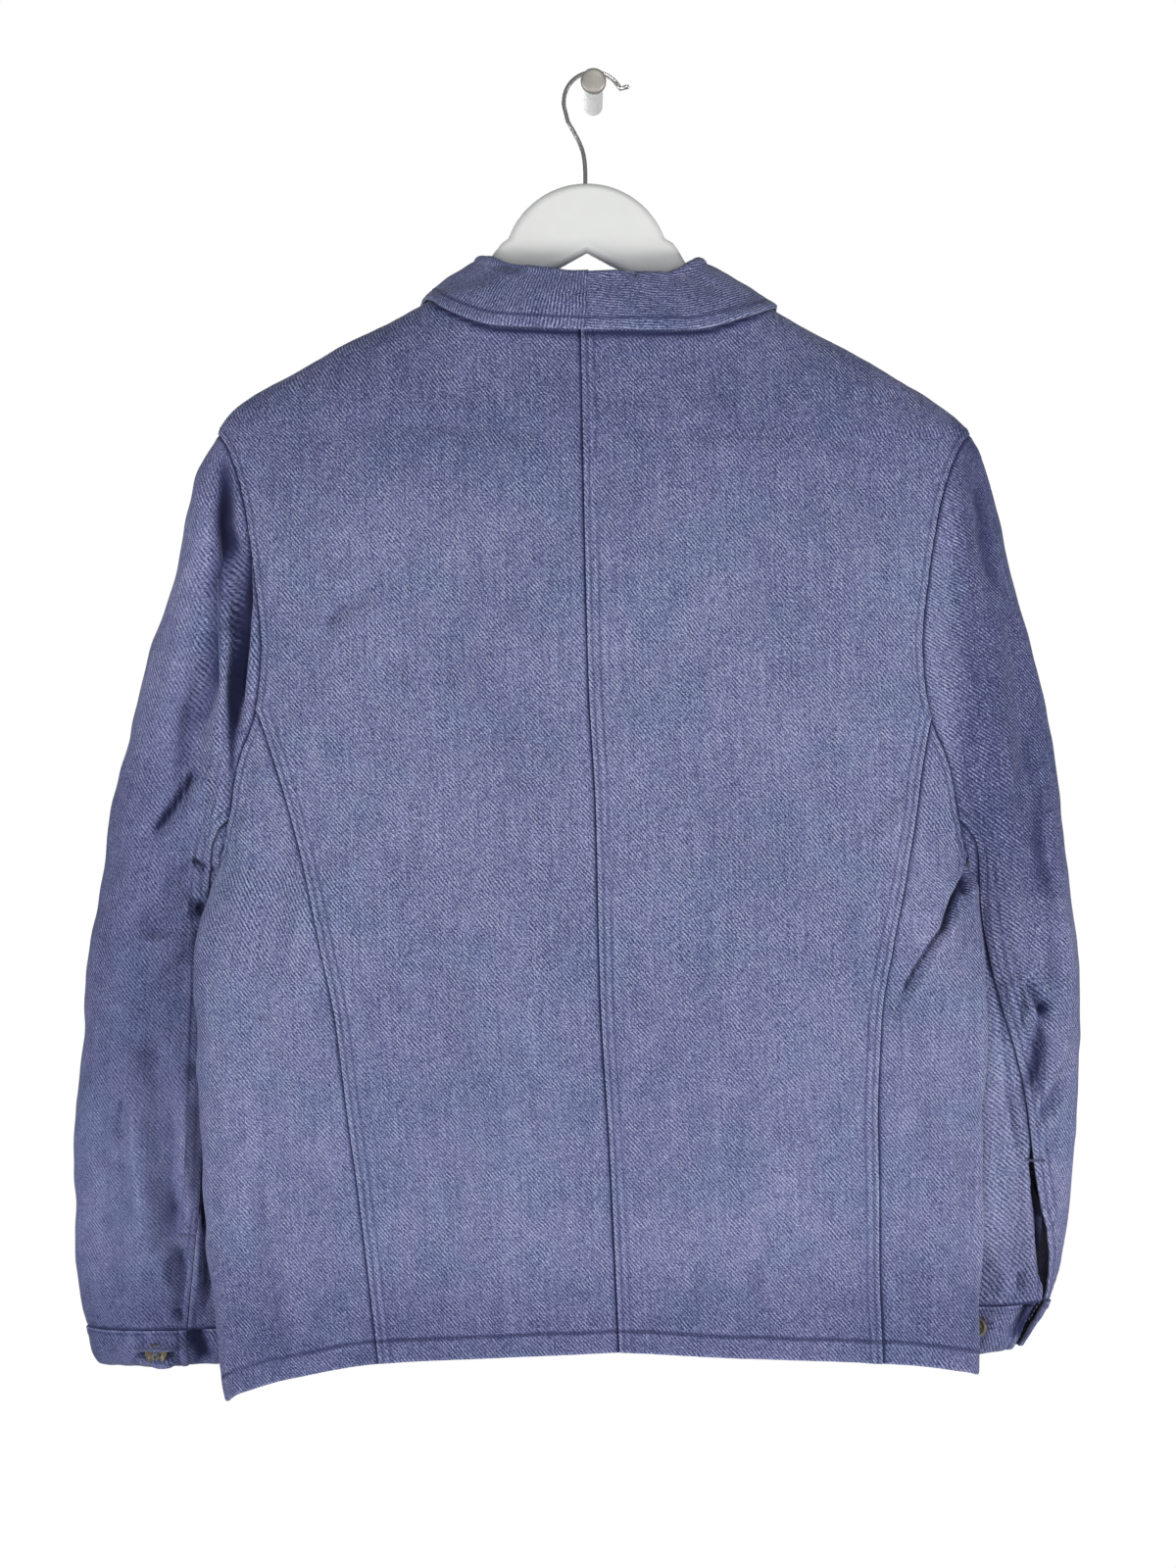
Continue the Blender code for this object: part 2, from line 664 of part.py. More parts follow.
def add_wall(name, nets, finish="denim"):
    """A closed wall of cloth from nets of outer points and the wall's depth at each."""
    known, outer, inner, faces = {}, [], [], []

    def vertex(point, depth):
        key = tuple(np.round(point * 20).astype(int))
        if key not in known:
            known[key] = len(outer)
            outer.append(point)
            inner.append(point - depth)
        return known[key]

    for points, depths in nets:
        ids = [
            [vertex(point, depth) for point, depth in zip(*row)]
            for row in zip(points, depths)
        ]
        across = np.diff(points, axis=1)[:-1]
        down = np.diff(points, axis=0)[:, :-1]
        inside_out = np.sum(np.cross(across, down) * depths[:-1, :-1]) < 0
        for i in range(len(ids) - 1):
            for j in range(len(ids[0]) - 1):
                ring = [ids[i][j], ids[i][j + 1], ids[i + 1][j + 1], ids[i + 1][j]]
                ring = [v for k, v in enumerate(ring) if v != ring[k - 1]]
                if len(ring) > 2:
                    faces.append(ring[::-1] if inside_out else ring)
    count = len(outer)
    edges = {(f[k - 1], f[k]) for f in faces for k in range(len(f))}
    rim = []
    for a, b in sorted(edges):
        if (b, a) in edges:
            continue
        if np.linalg.norm(outer[b] - inner[a]) < np.linalg.norm(outer[a] - inner[b]):
            rim += [(b, a, a + count), (b, a + count, b + count)]
        else:
            rim += [(b, a, b + count), (a, a + count, b + count)]
    lining = [[v + count for v in reversed(f)] for f in faces]
    return add_mesh(name, outer + inner, faces + lining + rim, finish)


def side_name(side):
    return "left" if side < 0 else "right"


def make_back(side):
    turn, drop = back_net(side)
    points = body_point(turn, drop)
    depths = body_normal(turn, drop) * CLOTH
    rows = slice(SHOULDER_ROWS, SHOULDER_ROWS + SIDE_SEAM_STEP + 1)
    depths[rows, 0] = armhole_depth(side, np.arange(SIDE_SEAM_STEP + 1))
    depths[0] = neck_depths(side, np.linspace(90, 0, BACK_COLUMNS + 1))
    if side > 0:
        back_from_edge(points, "last")
    add_wall(f"back_{side_name(side)}", [(points, depths)])


def lapped(side, turn):
    """How far the front that buttons over stands out from the other one."""
    if side > 0:
        return np.zeros_like(turn)
    return LAP_HEIGHT * np.clip((np.abs(turn) - LAP_START) / LAP_RUN, 0, 1)


def front_surface(side, turn, drop):
    normal = body_normal(turn, drop)
    return body_point(turn, drop) + normal * lapped(side, turn)[..., None], normal * CLOTH


def make_front(side):
    main, strip = front_nets(side)
    points, depths = front_surface(side, *main)
    rows = slice(SHOULDER_ROWS, SHOULDER_ROWS + ARMHOLE_STEPS + 1)
    steps = 2 * ARMHOLE_STEPS - np.arange(ARMHOLE_STEPS + 1)
    depths[rows, 0] = armhole_depth(side, steps)
    depths[0, : FRONT_COLUMNS + 1] = neck_depths(side, np.linspace(90, 180, FRONT_COLUMNS + 1))
    seam = points[: SHOULDER_ROWS, 0]
    seam += unit(points[: SHOULDER_ROWS, 1] - seam) * SEAM_GAP
    behind, behind_depths = front_surface(side, *strip)
    rows = slice(0, ARMHOLE_STEPS - SIDE_SEAM_STEP + 1)
    behind_depths[rows, -1] = armhole_depth(side, np.arange(SIDE_SEAM_STEP, ARMHOLE_STEPS + 1))
    back_from_edge(behind[1:], "first")
    behind[0] += unit(behind[1, 2] - behind[0]) * 3 * SEAM_GAP
    behind_depths[0] = behind_depths[0, -1]
    add_wall(f"front_{side_name(side)}", [(points, depths), (behind, behind_depths)])


def stand_normal(side, around):
    """The way the outside of the collar's stand faces at the neck seam."""
    angle = np.radians(around)
    lean = STAND_LEAN * np.sin(angle)
    return unit(np.stack([side * np.sin(angle), -np.cos(angle), lean + 0 * angle], axis=-1))


def neck_depths(side, around):
    return mitred(body_normal(*neckline(side, around)), stand_normal(side, around))


def off_the_body(points, side):
    """The points of the collar's leaf, moved out where they would lie too close to the body."""
    turn, drop = np.meshgrid(side * np.linspace(0, 1, 121), np.linspace(NECK_DROP, 290, 76))
    ground = body_point(turn, drop).reshape(-1, 3)
    normal = body_normal(turn, drop).reshape(-1, 3)
    loose = points.reshape(-1, 3)
    nearest = np.argmin(np.sum((loose[:, None] - ground[None]) ** 2, axis=-1), axis=1)
    height = np.sum((loose - ground[nearest]) * normal[nearest], axis=1)
    lift = np.logaddexp(0, COLLAR_CLEARANCE - height)
    return (loose + normal[nearest] * lift[:, None]).reshape(points.shape)


def make_collar(side):
    """Half of the collar: one wall that stands up from the neck seam, rolls over and falls."""
    around = np.concatenate(
        [np.linspace(0, 90, BACK_COLUMNS + 1), np.linspace(90, 180, FRONT_COLUMNS + 1)[1:]]
    )
    turn, drop = neckline(side, around)
    seam = body_point(turn, drop)
    seam += body_normal(turn, drop) * lapped(side, turn)[:, None]
    depth = neck_depths(side, around)
    foot = seam - depth
    at = {name: read(COLLAR[side], name, around) for name in COLLAR[side]}
    roll = np.stack([at["roll_x"], at["roll_y"], -at["roll_drop"]], axis=-1)
    edge = np.stack([at["edge_x"], at["edge_y"], -at["edge_drop"]], axis=-1)
    outward = unit(
        np.stack([side * np.sin(np.radians(around)), -np.cos(np.radians(around)), 0 * around], -1)
    )
    rise = np.array([0, 0, 1.0])
    middle = roll - rise * COLLAR_ROLL
    rows = [foot + (middle - outward * COLLAR_ROLL - foot) * s
            for s in np.linspace(0, 1, COLLAR_STAND_ROWS + 1)]
    for angle in np.linspace(np.pi, 0, COLLAR_ROLL_ROWS + 1)[1:]:
        rows.append(middle + outward * COLLAR_ROLL * np.cos(angle) + rise * COLLAR_ROLL * np.sin(angle))
    start = rows[-1]
    leaf = [start + (edge - start) * s + outward * COLLAR_BULGE * 4 * s * (1 - s)
            for s in np.linspace(0, 1, COLLAR_LEAF_ROWS + 1)[1:]]
    points = np.array(rows + list(off_the_body(np.array(leaf), side)))
    down = np.gradient(points, axis=0)
    across = np.gradient(points, axis=1)
    depths = unit(np.cross(down, across)) * CLOTH * side
    depths[0] = -depth
    back_from_edge(points, "top")
    if side > 0:
        points[:, 0] += unit(points[:, 1] - points[:, 0]) * SEAM_GAP
    add_wall(f"collar_{side_name(side)}", [(points, depths)])


def make_sleeve(side):
    whole = 2 * ARMHOLE_STEPS
    upper = sleeve_panel(side, "upper", FORE_SEAM_STEP - whole, HIND_SEAM_STEP)
    under = sleeve_panel(side, "under", HIND_SEAM_STEP, FORE_SEAM_STEP)
    for points, _ in (upper, under):
        back_from_edge(points, "top")
    for edge in ("first", "last"):
        back_from_edge(under[0], edge)
    add_wall(f"sleeve_upper_{side_name(side)}", [upper])
    add_wall(f"sleeve_under_{side_name(side)}", [under])


def cuff_turns(side):
    """Turns round a cuff, from the vent's upper edge round the front to its under edge."""
    last_row = len(SLEEVES[side]["seam"]) - 1
    hind = SLEEVES[side]["seam"][-1]
    fore = FORE_SEAM["turn"][-1]
    opening = vent_turns(side, last_row)
    steps = HIND_SEAM_STEP + 2 * ARMHOLE_STEPS - FORE_SEAM_STEP
    upper = np.linspace(hind - opening, fore - 1, steps + 1)
    end = hind + opening * VENT_UNDER_SHARE
    under = np.linspace(fore, end, FORE_SEAM_STEP - HIND_SEAM_STEP + 1) - 1
    tucked = [under[-1] - CUFF_UNDERLAP[side] * k / 3 for k in (1, 2, 3) if CUFF_UNDERLAP[side]]
    return np.concatenate([upper, under[1:], tucked])


def cuff_point(side, turn, row):
    """A point outside a cuff. Past a whole turn it runs in behind its own start."""
    start = cuff_turns(side)[0]
    tucked = np.clip((start - 1 + TUCK_START - turn) / TUCK_RUN, 0, 1)
    point = oval(numbered(CUFFS[side]), turn, row)
    middle = oval(numbered(CUFFS[side]), turn + 0.5, row) / 2 + point / 2
    return point + unit(middle - point) * (CUFF_TUCK * tucked * tucked * (3 - 2 * tucked))[..., None]


def cuff_surface(side, turn, row):
    last = len(CUFFS[side]["outer_x"]) - 1
    across = cuff_point(side, turn + 0.004, row) - cuff_point(side, turn - 0.004, row)
    down = cuff_point(side, turn, np.minimum(row + 0.04, last)) - cuff_point(
        side, turn, np.maximum(row - 0.04, 0)
    )
    return cuff_point(side, turn, row), -side * unit(np.cross(down, across))


def make_cuff(side):
    turns = cuff_turns(side)
    last = len(CUFFS[side]["outer_x"]) - 1
    rows = np.linspace(0, last, last + 1)
    turn = np.repeat(turns[None, :], len(rows), axis=0)
    row = np.repeat(rows[:, None], len(turns), axis=1)
    points, normals = cuff_surface(side, turn, row)
    depths = normals * CLOTH
    depths[0] = sleeve_normal(side, turns, 10.0 + 0 * turns) * CLOTH
    back_from_edge(points, "top")
    add_wall(f"cuff_{side_name(side)}", [(points, depths)])


def add_turned(name, profile, axis, sides, finish):
    """A closed body turned from a profile about an axis through the origin."""
    shape = bmesh.new()
    line = [shape.verts.new(Vector(point) * MM) for point in profile]
    edges = [shape.edges.new(pair) for pair in zip(line, line[1:])]
    bmesh.ops.spin(
        shape, geom=line + edges, cent=(0, 0, 0), axis=axis,
        angle=2 * math.pi, steps=sides, use_merge=True,
    )
    bmesh.ops.remove_doubles(shape, verts=shape.verts, dist=1e-5)
    bmesh.ops.recalc_face_normals(shape, faces=shape.faces)
    mesh = bpy.data.meshes.new(name)
    shape.to_mesh(mesh)
    shape.free()
    mesh.shade_smooth()
    mesh.set_sharp_from_angle(angle=math.radians(35))
    return add_object(name, mesh, finish)


def add_button(name, centre, normal, radius):
    """A round button with a raised rim, lying on a surface that faces along normal."""
    profile = [(r * radius, 0.0, h * BUTTON_THICKNESS) for r, h in BUTTON_PROFILE]
    obj = add_turned(name, profile, (0, 0, 1), BUTTON_SIDES, "horn")
    obj.location = Vector((centre + normal * SEAM_GAP) * MM)
    obj.rotation_mode = "QUATERNION"
    obj.rotation_quaternion = Vector(normal).to_track_quat("Z", "Y")


def make_buttons():
    for number, drop in enumerate(BUTTON_DROPS, 1):
        points, depths = front_surface(-1, np.array([-1.0]), np.array([float(drop)]))
        add_button(f"button_{number}", points[0], unit(depths)[0], BUTTON_RADIUS)
    for side in (-1, 1):
        place = np.array([CUFF_BUTTON[side]])
        points, normals = cuff_surface(side, place[:, 0], place[:, 1])
        add_button(f"cuff_button_{side_name(side)}", points[0], normals[0], CUFF_BUTTON_RADIUS)


# ---------------------------------------------------------------- the hanger and the peg
def make_peg():
    """The wall peg: a round shaft with a wider, softly domed head."""
    add_turned("wall_peg", [(r, y, 0.0) for r, y in PEG_PROFILE], (0, 1, 0), PEG_SIDES, "peg")


def hook_path():
    """The hook's wire: its flicked tip, an arc over the peg, and the swan neck down into the board."""
    centre_z = PEG_RADIUS + SEAM_GAP + WIRE_RADIUS - HOOK_RADIUS
    points = [(x, centre_z + height) for x, height in HOOK_TIP]
    for angle in np.radians(np.linspace(*HOOK_ARC, 17)):
        points.append((HOOK_RADIUS * math.cos(angle), centre_z + HOOK_RADIUS * math.sin(angle)))
    points += list(zip(HOOK_NECK["x"], -HOOK_NECK["drop"]))
    return [*points, (STEM_X, -DOME_TOP_DROP - STEM_DEPTH + 2)]


def make_hook():
    curve = bpy.data.curves.new("hanger_hook", "CURVE")
    curve.dimensions = "3D"
    spline = curve.splines.new("POLY")
    path = hook_path()
    spline.points.add(len(path) - 1)
    for point, (x, z) in zip(spline.points, path):
        point.co = (x * MM, HANG_Y * MM, z * MM, 1)
    curve.bevel_depth = WIRE_RADIUS * MM
    curve.bevel_resolution = 2
    curve.use_fill_caps = True
    add_object("hanger_hook", curve, "wire")


def board_half(side):
    """Outline of one half of the board, from the dome's top out to the arm's end and back to the apex."""
    name = "left" if side < 0 else "right"
    points = []
    for angle in np.radians(np.linspace(90, 20, 11)):
        points.append((
            BOARD_X + side * DOME_RADIUS * math.cos(angle),
            -DOME_TOP_DROP - DOME_RADIUS + DOME_RADIUS * math.sin(angle),
        ))
    points += list(zip(ARM_ROOT[name], -ARM_ROOT["drop"]))
    for drop in ARM_DROPS:
        points.append((float(read(BODY, name, drop)), -drop - ARM_BELOW_RIDGE))
    last_z = points[-1][1]
    points += [(side * (ARM_END - x), last_z - z) for x, z in zip(*ARM_TIP.values())]
    under_z = -ARM_APEX_DROP - ARM_UNDERSIDE_SLOPE * (ARM_END - ARM_CORNER)
    points += [
        (side * (ARM_END - ARM_CORNER * 0.2), under_z + ARM_CORNER / 2),
        (side * (ARM_END - ARM_CORNER), under_z),
    ]
    return points


def make_board():
    """The hanger: a flat white board with a dome at the neck and two sloping arms."""
    left, right = board_half(-1), board_half(1)
    outline = right + [(BOARD_X, -ARM_APEX_DROP)] + left[:0:-1]
    shape = bmesh.new()
    front = HANG_Y - BOARD_THICKNESS / 2
    face = shape.faces.new([shape.verts.new((x * MM, front * MM, z * MM)) for x, z in outline])
    extruded = bmesh.ops.extrude_face_region(shape, geom=[face])
    moved = [v for v in extruded["geom"] if isinstance(v, bmesh.types.BMVert)]
    bmesh.ops.translate(shape, verts=moved, vec=(0, BOARD_THICKNESS * MM, 0))
    bmesh.ops.recalc_face_normals(shape, faces=shape.faces)
    mesh = bpy.data.meshes.new("hanger_board")
    shape.to_mesh(mesh)
    shape.free()
    board = add_object("hanger_board", mesh, "board")
    bevel = board.modifiers.new("rounded edges", "BEVEL")
    bevel.width = BOARD_EDGE * MM
    bevel.segments = 3
    bevel.limit_method = "ANGLE"
    bevel.angle_limit = math.radians(60)

    cutter_mesh = bpy.data.meshes.new("stem_hole")
    hole = bmesh.new()
    radius = (WIRE_RADIUS + STEM_CLEARANCE) * MM
    middle = Vector((STEM_X, HANG_Y, -DOME_TOP_DROP - STEM_DEPTH / 2 + 5)) * MM
    bmesh.ops.create_cone(
        hole, cap_ends=True, segments=12, radius1=radius, radius2=radius,
        depth=(STEM_DEPTH + 10) * MM, matrix=Matrix.Translation(middle),
    )
    hole.to_mesh(cutter_mesh)
    hole.free()
    cutter = add_object("stem_hole", cutter_mesh, "board")
    cutter.hide_render = True
    cutter.display_type = "WIRE"
    cut = board.modifiers.new("stem hole", "BOOLEAN")
    cut.operation = "DIFFERENCE"
    cut.object = cutter


def main():
    for obj in list(bpy.data.objects):
        bpy.data.objects.remove(obj)
    for side in (-1, 1):
        make_back(side)
        make_front(side)
        make_sleeve(side)
        make_cuff(side)
        make_collar(side)
    make_buttons()
    make_board()
    make_hook()
    make_peg()


main()
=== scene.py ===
"""Looks of a denim work jacket, buttoned, that hangs back outwards on a board hanger from a wall peg.

Sizes are in millimetres until a mesh is made. X runs to the right of someone who faces the wall,
Y into the wall and Z up, from the centre of the peg's foot on the wall. "Drop" is the distance
below that point. Left and right are as seen when facing the wall. The shape functions are those
of the solids, read more finely; the sewing, the creases and the finishes are added here.
"""

import math

import bmesh
import bpy
import numpy as np
from mathutils import Matrix, Vector
from mathutils.kdtree import KDTree


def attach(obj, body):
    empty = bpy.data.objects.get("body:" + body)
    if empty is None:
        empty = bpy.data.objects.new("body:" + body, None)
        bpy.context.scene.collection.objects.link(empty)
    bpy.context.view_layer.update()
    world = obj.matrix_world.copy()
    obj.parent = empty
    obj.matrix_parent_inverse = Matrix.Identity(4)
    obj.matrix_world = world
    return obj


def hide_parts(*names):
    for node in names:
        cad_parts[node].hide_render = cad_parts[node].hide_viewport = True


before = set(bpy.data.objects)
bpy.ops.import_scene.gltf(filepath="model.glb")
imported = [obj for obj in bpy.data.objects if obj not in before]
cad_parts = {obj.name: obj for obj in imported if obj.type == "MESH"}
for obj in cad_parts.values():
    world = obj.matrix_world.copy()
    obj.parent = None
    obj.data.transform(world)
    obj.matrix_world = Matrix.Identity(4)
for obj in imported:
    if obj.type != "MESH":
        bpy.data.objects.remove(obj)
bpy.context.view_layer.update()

MM = 0.001


# ---------------------------------------------------------------- driving sizes
SEAM_GAP = 0.3
HANG_Y = -65.0  # plane of the hanger and of the shoulder seams
NECK_DROP = 139.0  # where the shoulder seams meet the neck
BACK_NECK_DIP = 20.0
FRONT_NECK_DIP = 76.0
SHOULDER_DROP = 236.0  # outer ends of the shoulder seams
UNDERARM_DROP = 520.0
BUTTON_STAND = 16.0  # each front reaches this far past the centre
LAP_HEIGHT = 2.8  # of the left front over the right one
LAP_START, LAP_RUN = 0.9077, 0.0492  # in turns from the centre back
BODY_FULLNESS = 2.3  # 2 is an ellipse, more is a fuller section

MEAN_HEM_DROP = 850.0
ARMHOLE_STEPS = 10  # from the shoulder to the underarm, and again up the front
SIDE_SEAM_STEP = 6  # the armhole step where the back seam starts
HIND_SEAM_STEP = 8  # the armhole steps where the two sleeve seams start
FORE_SEAM_STEP = 13
SIDES = {-1: "left", 1: "right"}


def table(names, *rows):
    """A table as a dictionary of its named columns."""
    return dict(zip(names.split(), np.array(rows, float).T))


# Sections of the body: the ends of each section as seen from the back, and how far the
# back and the front stand out from the line between the ends.
BODY = table(
    "drop left right ends_y back front",
    (125, -70, 69, -65, 31, 26),
    (139, -97, 96, -65, 33, 28),
    (161, -138, 136, -65, 35, 30),
    (194, -199, 196, -65, 37, 33),
    (211, -230, 225, -65, 38, 35),
    (227, -247, 246, -66, 38, 36),
    (236, -252, 253, -66.2, 38, 36.4),
    (270, -255, 255, -67.3, 38, 37.8),
    (340, -258, 257, -69.7, 38, 40.2),
    (430, -257, 256, -72.6, 37.8, 42.6),
    (520, -249, 250, -75, 37.4, 44.2),
    (545, -257, 258, -75.5, 37.3, 44.5),
    (575, -265, 261, -75.9, 37.2, 44.7),
    (600, -268, 262, -76.2, 37, 44.8),
    (640, -266, 262, -76.5, 36.8, 44.8),
    (720, -262, 261, -76.8, 36.4, 44.6),
    (800, -256, 260, -77, 35.7, 44.2),
    (890, -245, 257, -77, 34.5, 43.5),
)

# The seams of the back.
CENTRE_BACK = table("drop x", (159, -8.5), (406, -3), (484, 1.5), (606, 4.5), (715, 11), (850, 17.5))
BACK_SEAMS = table(
    "drop left right",
    (421, -223, 225),
    (460, -210, 218),
    (490, -201, 214),
    (536, -189, 206),
    (578, -180, 198),
    (627, -170, 190),
    (689, -162, 187.5),
    (739, -155, 188.5),
    (781, -150, 188.5),
    (850, -142, 191),
)

# The hem, from the centre back (turn 0) round the side (0.5) to the centre front (1).
HEM = table(
    "turn left right",
    (0, 845, 845),
    (0.1, 849, 849),
    (0.2, 853.5, 852),
    (0.3, 864, 856),
    (0.4, 876, 862),
    (0.5, 884, 866),
    (0.6, 878, 866),
    (0.75, 868, 863),
    (1, 858, 858),
)

# How far the armhole reaches from the side towards the back and the front, in turns,
# from the shoulder (0) to the underarm (1).
ARMHOLE = table(
    "down back front",
    (0, 0, 0),
    (0.1, 0.075, 0.055),
    (0.2, 0.118, 0.095),
    (0.3, 0.146, 0.125),
    (0.4, 0.165, 0.145),
    (0.5, 0.175, 0.155),
    (0.6, 0.165, 0.15),
    (0.7, 0.118, 0.13),
    (0.8, 0.083, 0.1),
    (0.9, 0.045, 0.055),
    (1, 0, 0),
)

# Sections of the sleeves, from the armhole (first) to the seam of the cuff (last). Each is
# an oval between an outer and an inner point, and the hind seam lies at "seam" turns from
# the outer point towards the back.
SLEEVES = {
    -1: table(
        "outer_x outer_drop inner_x inner_drop middle_y half_depth seam",
        (-252, 236, -249, 520, -71, 22, 0.4),
        (-264.5, 260, -252, 528, -69, 25, 0.395),
        (-281, 326, -252, 536, -62, 28, 0.385),
        (-303, 391, -250, 548, -54, 30, 0.375),
        (-321, 458, -247, 566, -47, 31, 0.365),
        (-333.5, 524, -244, 590, -42, 31, 0.36),
        (-343.5, 591, -242, 625, -38, 30, 0.355),
        (-349, 658, -241, 675, -36, 29, 0.35),
        (-354, 739, -240, 740, -35, 28, 0.342),
        (-352.5, 792, -240, 793, -35, 27, 0.325),
        (-346, 841, -240, 841, -35, 26, 0.305),
    ),
    1: table(
        "outer_x outer_drop inner_x inner_drop middle_y half_depth seam",
        (253, 236, 250, 520, -71, 22, 0.4),
        (263.5, 260, 252.5, 528, -69, 25, 0.39),
        (282.5, 326, 253, 536, -62, 28, 0.38),
        (299.5, 391, 251, 548, -54, 30, 0.365),
        (312.5, 458, 247, 566, -47, 31, 0.35),
        (322, 524, 242, 590, -42, 31, 0.325),
        (330, 591, 237, 625, -37, 29, 0.285),
        (332.5, 659, 233, 675, -33, 27, 0.228),
        (327.5, 739, 229, 740, -31, 25, 0.175),
        (321, 793, 227, 792, -30, 24, 0.115),
        (313, 824, 226, 828, -30, 23, 0.085),
    ),
}
INNER_PINCH = 0.35  # how much flatter a sleeve is by its inner line than by its outer one
CAP_SECTIONS = 3  # the sections over which a sleeve leaves the armhole's shape
FOLD_SECTIONS = 0.6  # and over which its folds start
FORE_SEAM = table("section turn", (0, 0.65), (5, 0.63), (10, 0.62))
# The vent is the open foot of the hind seam, above the cuff.
VENT_START = 8.4  # in sections
VENT_OPENING = {-1: 0.8, 1: 9.0}
VENT_UNDER_SHARE = 0.6  # of half the opening, on the under sleeve's side
SLEEVE_GIRTH = 283.0  # at the vent

# The cuffs, below their seam. Their last stretch turns in under the wrist.
CUFFS = {
    -1: table(
        "outer_x outer_drop inner_x inner_drop middle_y half_depth",
        (-346, 841, -240, 841, -35, 26),
        (-343.5, 853, -241, 853, -35, 26),
        (-340.5, 861.5, -242, 861.5, -35, 23),
        (-338, 867, -243, 867, -34, 13),
    ),
    1: table(
        "outer_x outer_drop inner_x inner_drop middle_y half_depth",
        (313, 824, 226, 828, -30, 23),
        (308, 834, 227, 841, -30, 23),
        (302, 845, 228, 854, -30, 20),
        (295, 856, 230, 865, -29, 12),
    ),
}
CUFF_UNDERLAP = {-1: 0.11, 1: 0.0}  # in turns, tucked in behind the buttonhole end
CUFF_TUCK = 6.5  # how far in behind it
TUCK_START = 0.07  # in turns past the buttonhole end
TUCK_RUN = 0.09

# The collar, from the centre back (0 degrees) to the centre front (180): its roll line
# and its outer edge.
COLLAR = {
    -1: table(
        "around roll_x roll_y roll_drop edge_x edge_y edge_drop",
        (0, -4, -99, 131, -6, -111, 171.5),
        (35, -45, -95, 127, -64, -106.5, 168),
        (65, -69, -82, 118.5, -101, -91.5, 153.5),
        (78, -73.5, -74, 116.8, -109, -80, 147),
        (90, -76, -65, 116, -114, -67, 144.5),
        (120, -70, -47, 125, -119, -42, 167),
        (150, -42, -31, 158, -106, -27.5, 222),
        (180, -4, -24, 206, -74, -21.5, 268),
    ),
    1: table(
        "around roll_x roll_y roll_drop edge_x edge_y edge_drop",
        (0, -3, -99, 131, -5, -111, 171.5),
        (35, 44, -95, 131, 62, -107, 171),
        (65, 66, -82, 121, 107, -92, 158),
        (78, 69.5, -74, 119, 118.5, -81, 152.5),
        (90, 71, -65, 118, 124, -67, 149.5),
        (120, 68, -47, 126, 121, -42, 170),
        (150, 42, -31, 158, 106, -27.5, 222),
        (180, 4, -24, 206, 74, -21.5, 268),
    ),
}
STAND_LEAN = 0.25  # how far the outside of the stand faces up, at the shoulders
COLLAR_ROLL = 4.2  # half the width of the roll
COLLAR_BULGE = 2.5  # of the leaf, outwards
COLLAR_CLEARANCE = 3.2  # from the outside of the body to the outside of the leaf


def fold_table(*rows):
    """Folds as a table: a line, its half width, and its height, below 0 for a trough."""
    return table("x1 drop1 x2 drop2 half_width height", *rows)


# The largest folds, on the side that faces out of the wall (back) or the wall (front).
BODY_FOLDS = {
    "back": fold_table(
        (246, 522, 207, 586, 12, -7),
        (207, 586, 190, 622, 12, -3),
        (236, 512, 215, 560, 14, 4),
        (-236, 480, -252, 690, 16, 3),
        (-70, 640, -58, 850, 34, 3),
        (88, 560, 100, 850, 36, 3),
        (-110, 700, -118, 860, 26, -3),
        (52, 700, 46, 850, 22, -2.5),
    ),
    "front": fold_table(
        (-214, 530, -160, 640, 14, -4),
        (212, 530, 150, 650, 14, -4),
        (-120, 560, -112, 860, 32, 3),
        (118, 540, 106, 860, 34, 3),
        (-60, 640, -56, 860, 24, -2.5),
        (64, 620, 60, 860, 24, -2.5),
    ),
}
SLEEVE_FOLDS = {
    -1: fold_table(
        (-238, 290, -234, 420, 11, -9),
        (-248, 300, -252, 470, 9, 3),
        (-262, 290, -268, 480, 11, -7),
        (-258, 510, -300, 575, 11, -5),
        (-262, 540, -304, 620, 12, 4),
        (-296, 640, -290, 740, 12, -3),
        (-316, 700, -300, 800, 12, 3),
    ),
    1: fold_table(
        (286, 330, 303, 520, 11, -4),
        (303, 520, 306, 610, 10, -7),
        (282, 600, 300, 640, 10, 4),
        (300, 640, 280, 690, 9, -5),
        (322, 600, 296, 680, 11, 4),
        (262, 380, 272, 520, 14, 3),
    ),
}

# Buttons.
BUTTON_RADIUS = 9.5
BUTTON_THICKNESS = 3.4
BUTTON_DROPS = (232, 352, 472, 592, 712)
CUFF_BUTTON_RADIUS = 7.5
CUFF_BUTTON = {-1: (0.238, 1.35), 1: (-0.72, 1.1)}  # turn and section on its cuff

# The peg and the hanger.
PEG_RADIUS = 6.5
WIRE_RADIUS = 1.5
HOOK_RADIUS = 20.0
HOOK_ARC = (26, 190)  # degrees, from the tip's side over the peg
HOOK_TIP = ((23.0, 10.2), (20.6, 9.6))  # x, and height above the arc's centre
STEM_X = -5.5
HOOK_NECK = table(
    "x drop", (-17.2, 25), (-13.2, 32), (-9.6, 39), (-7, 46), (-5.9, 53), (STEM_X, 60)
)
BOARD_THICKNESS = 14.0
BOARD_EDGE = 5.5
BOARD_X = -4.6  # middle of the board's dome
DOME_RADIUS = 56.0
DOME_TOP_DROP = 67.0
ARM_BELOW_RIDGE = 4.6  # the arms' top edge below the outside of the shoulder seams
ARM_DROPS = (146.0, 161.0, 177.0, 194.0, 204.0)
ARM_END = 222.0
ARM_TIP = table("inwards below", (4, 5.5), (0, 12))  # from the arm's end and its last top point
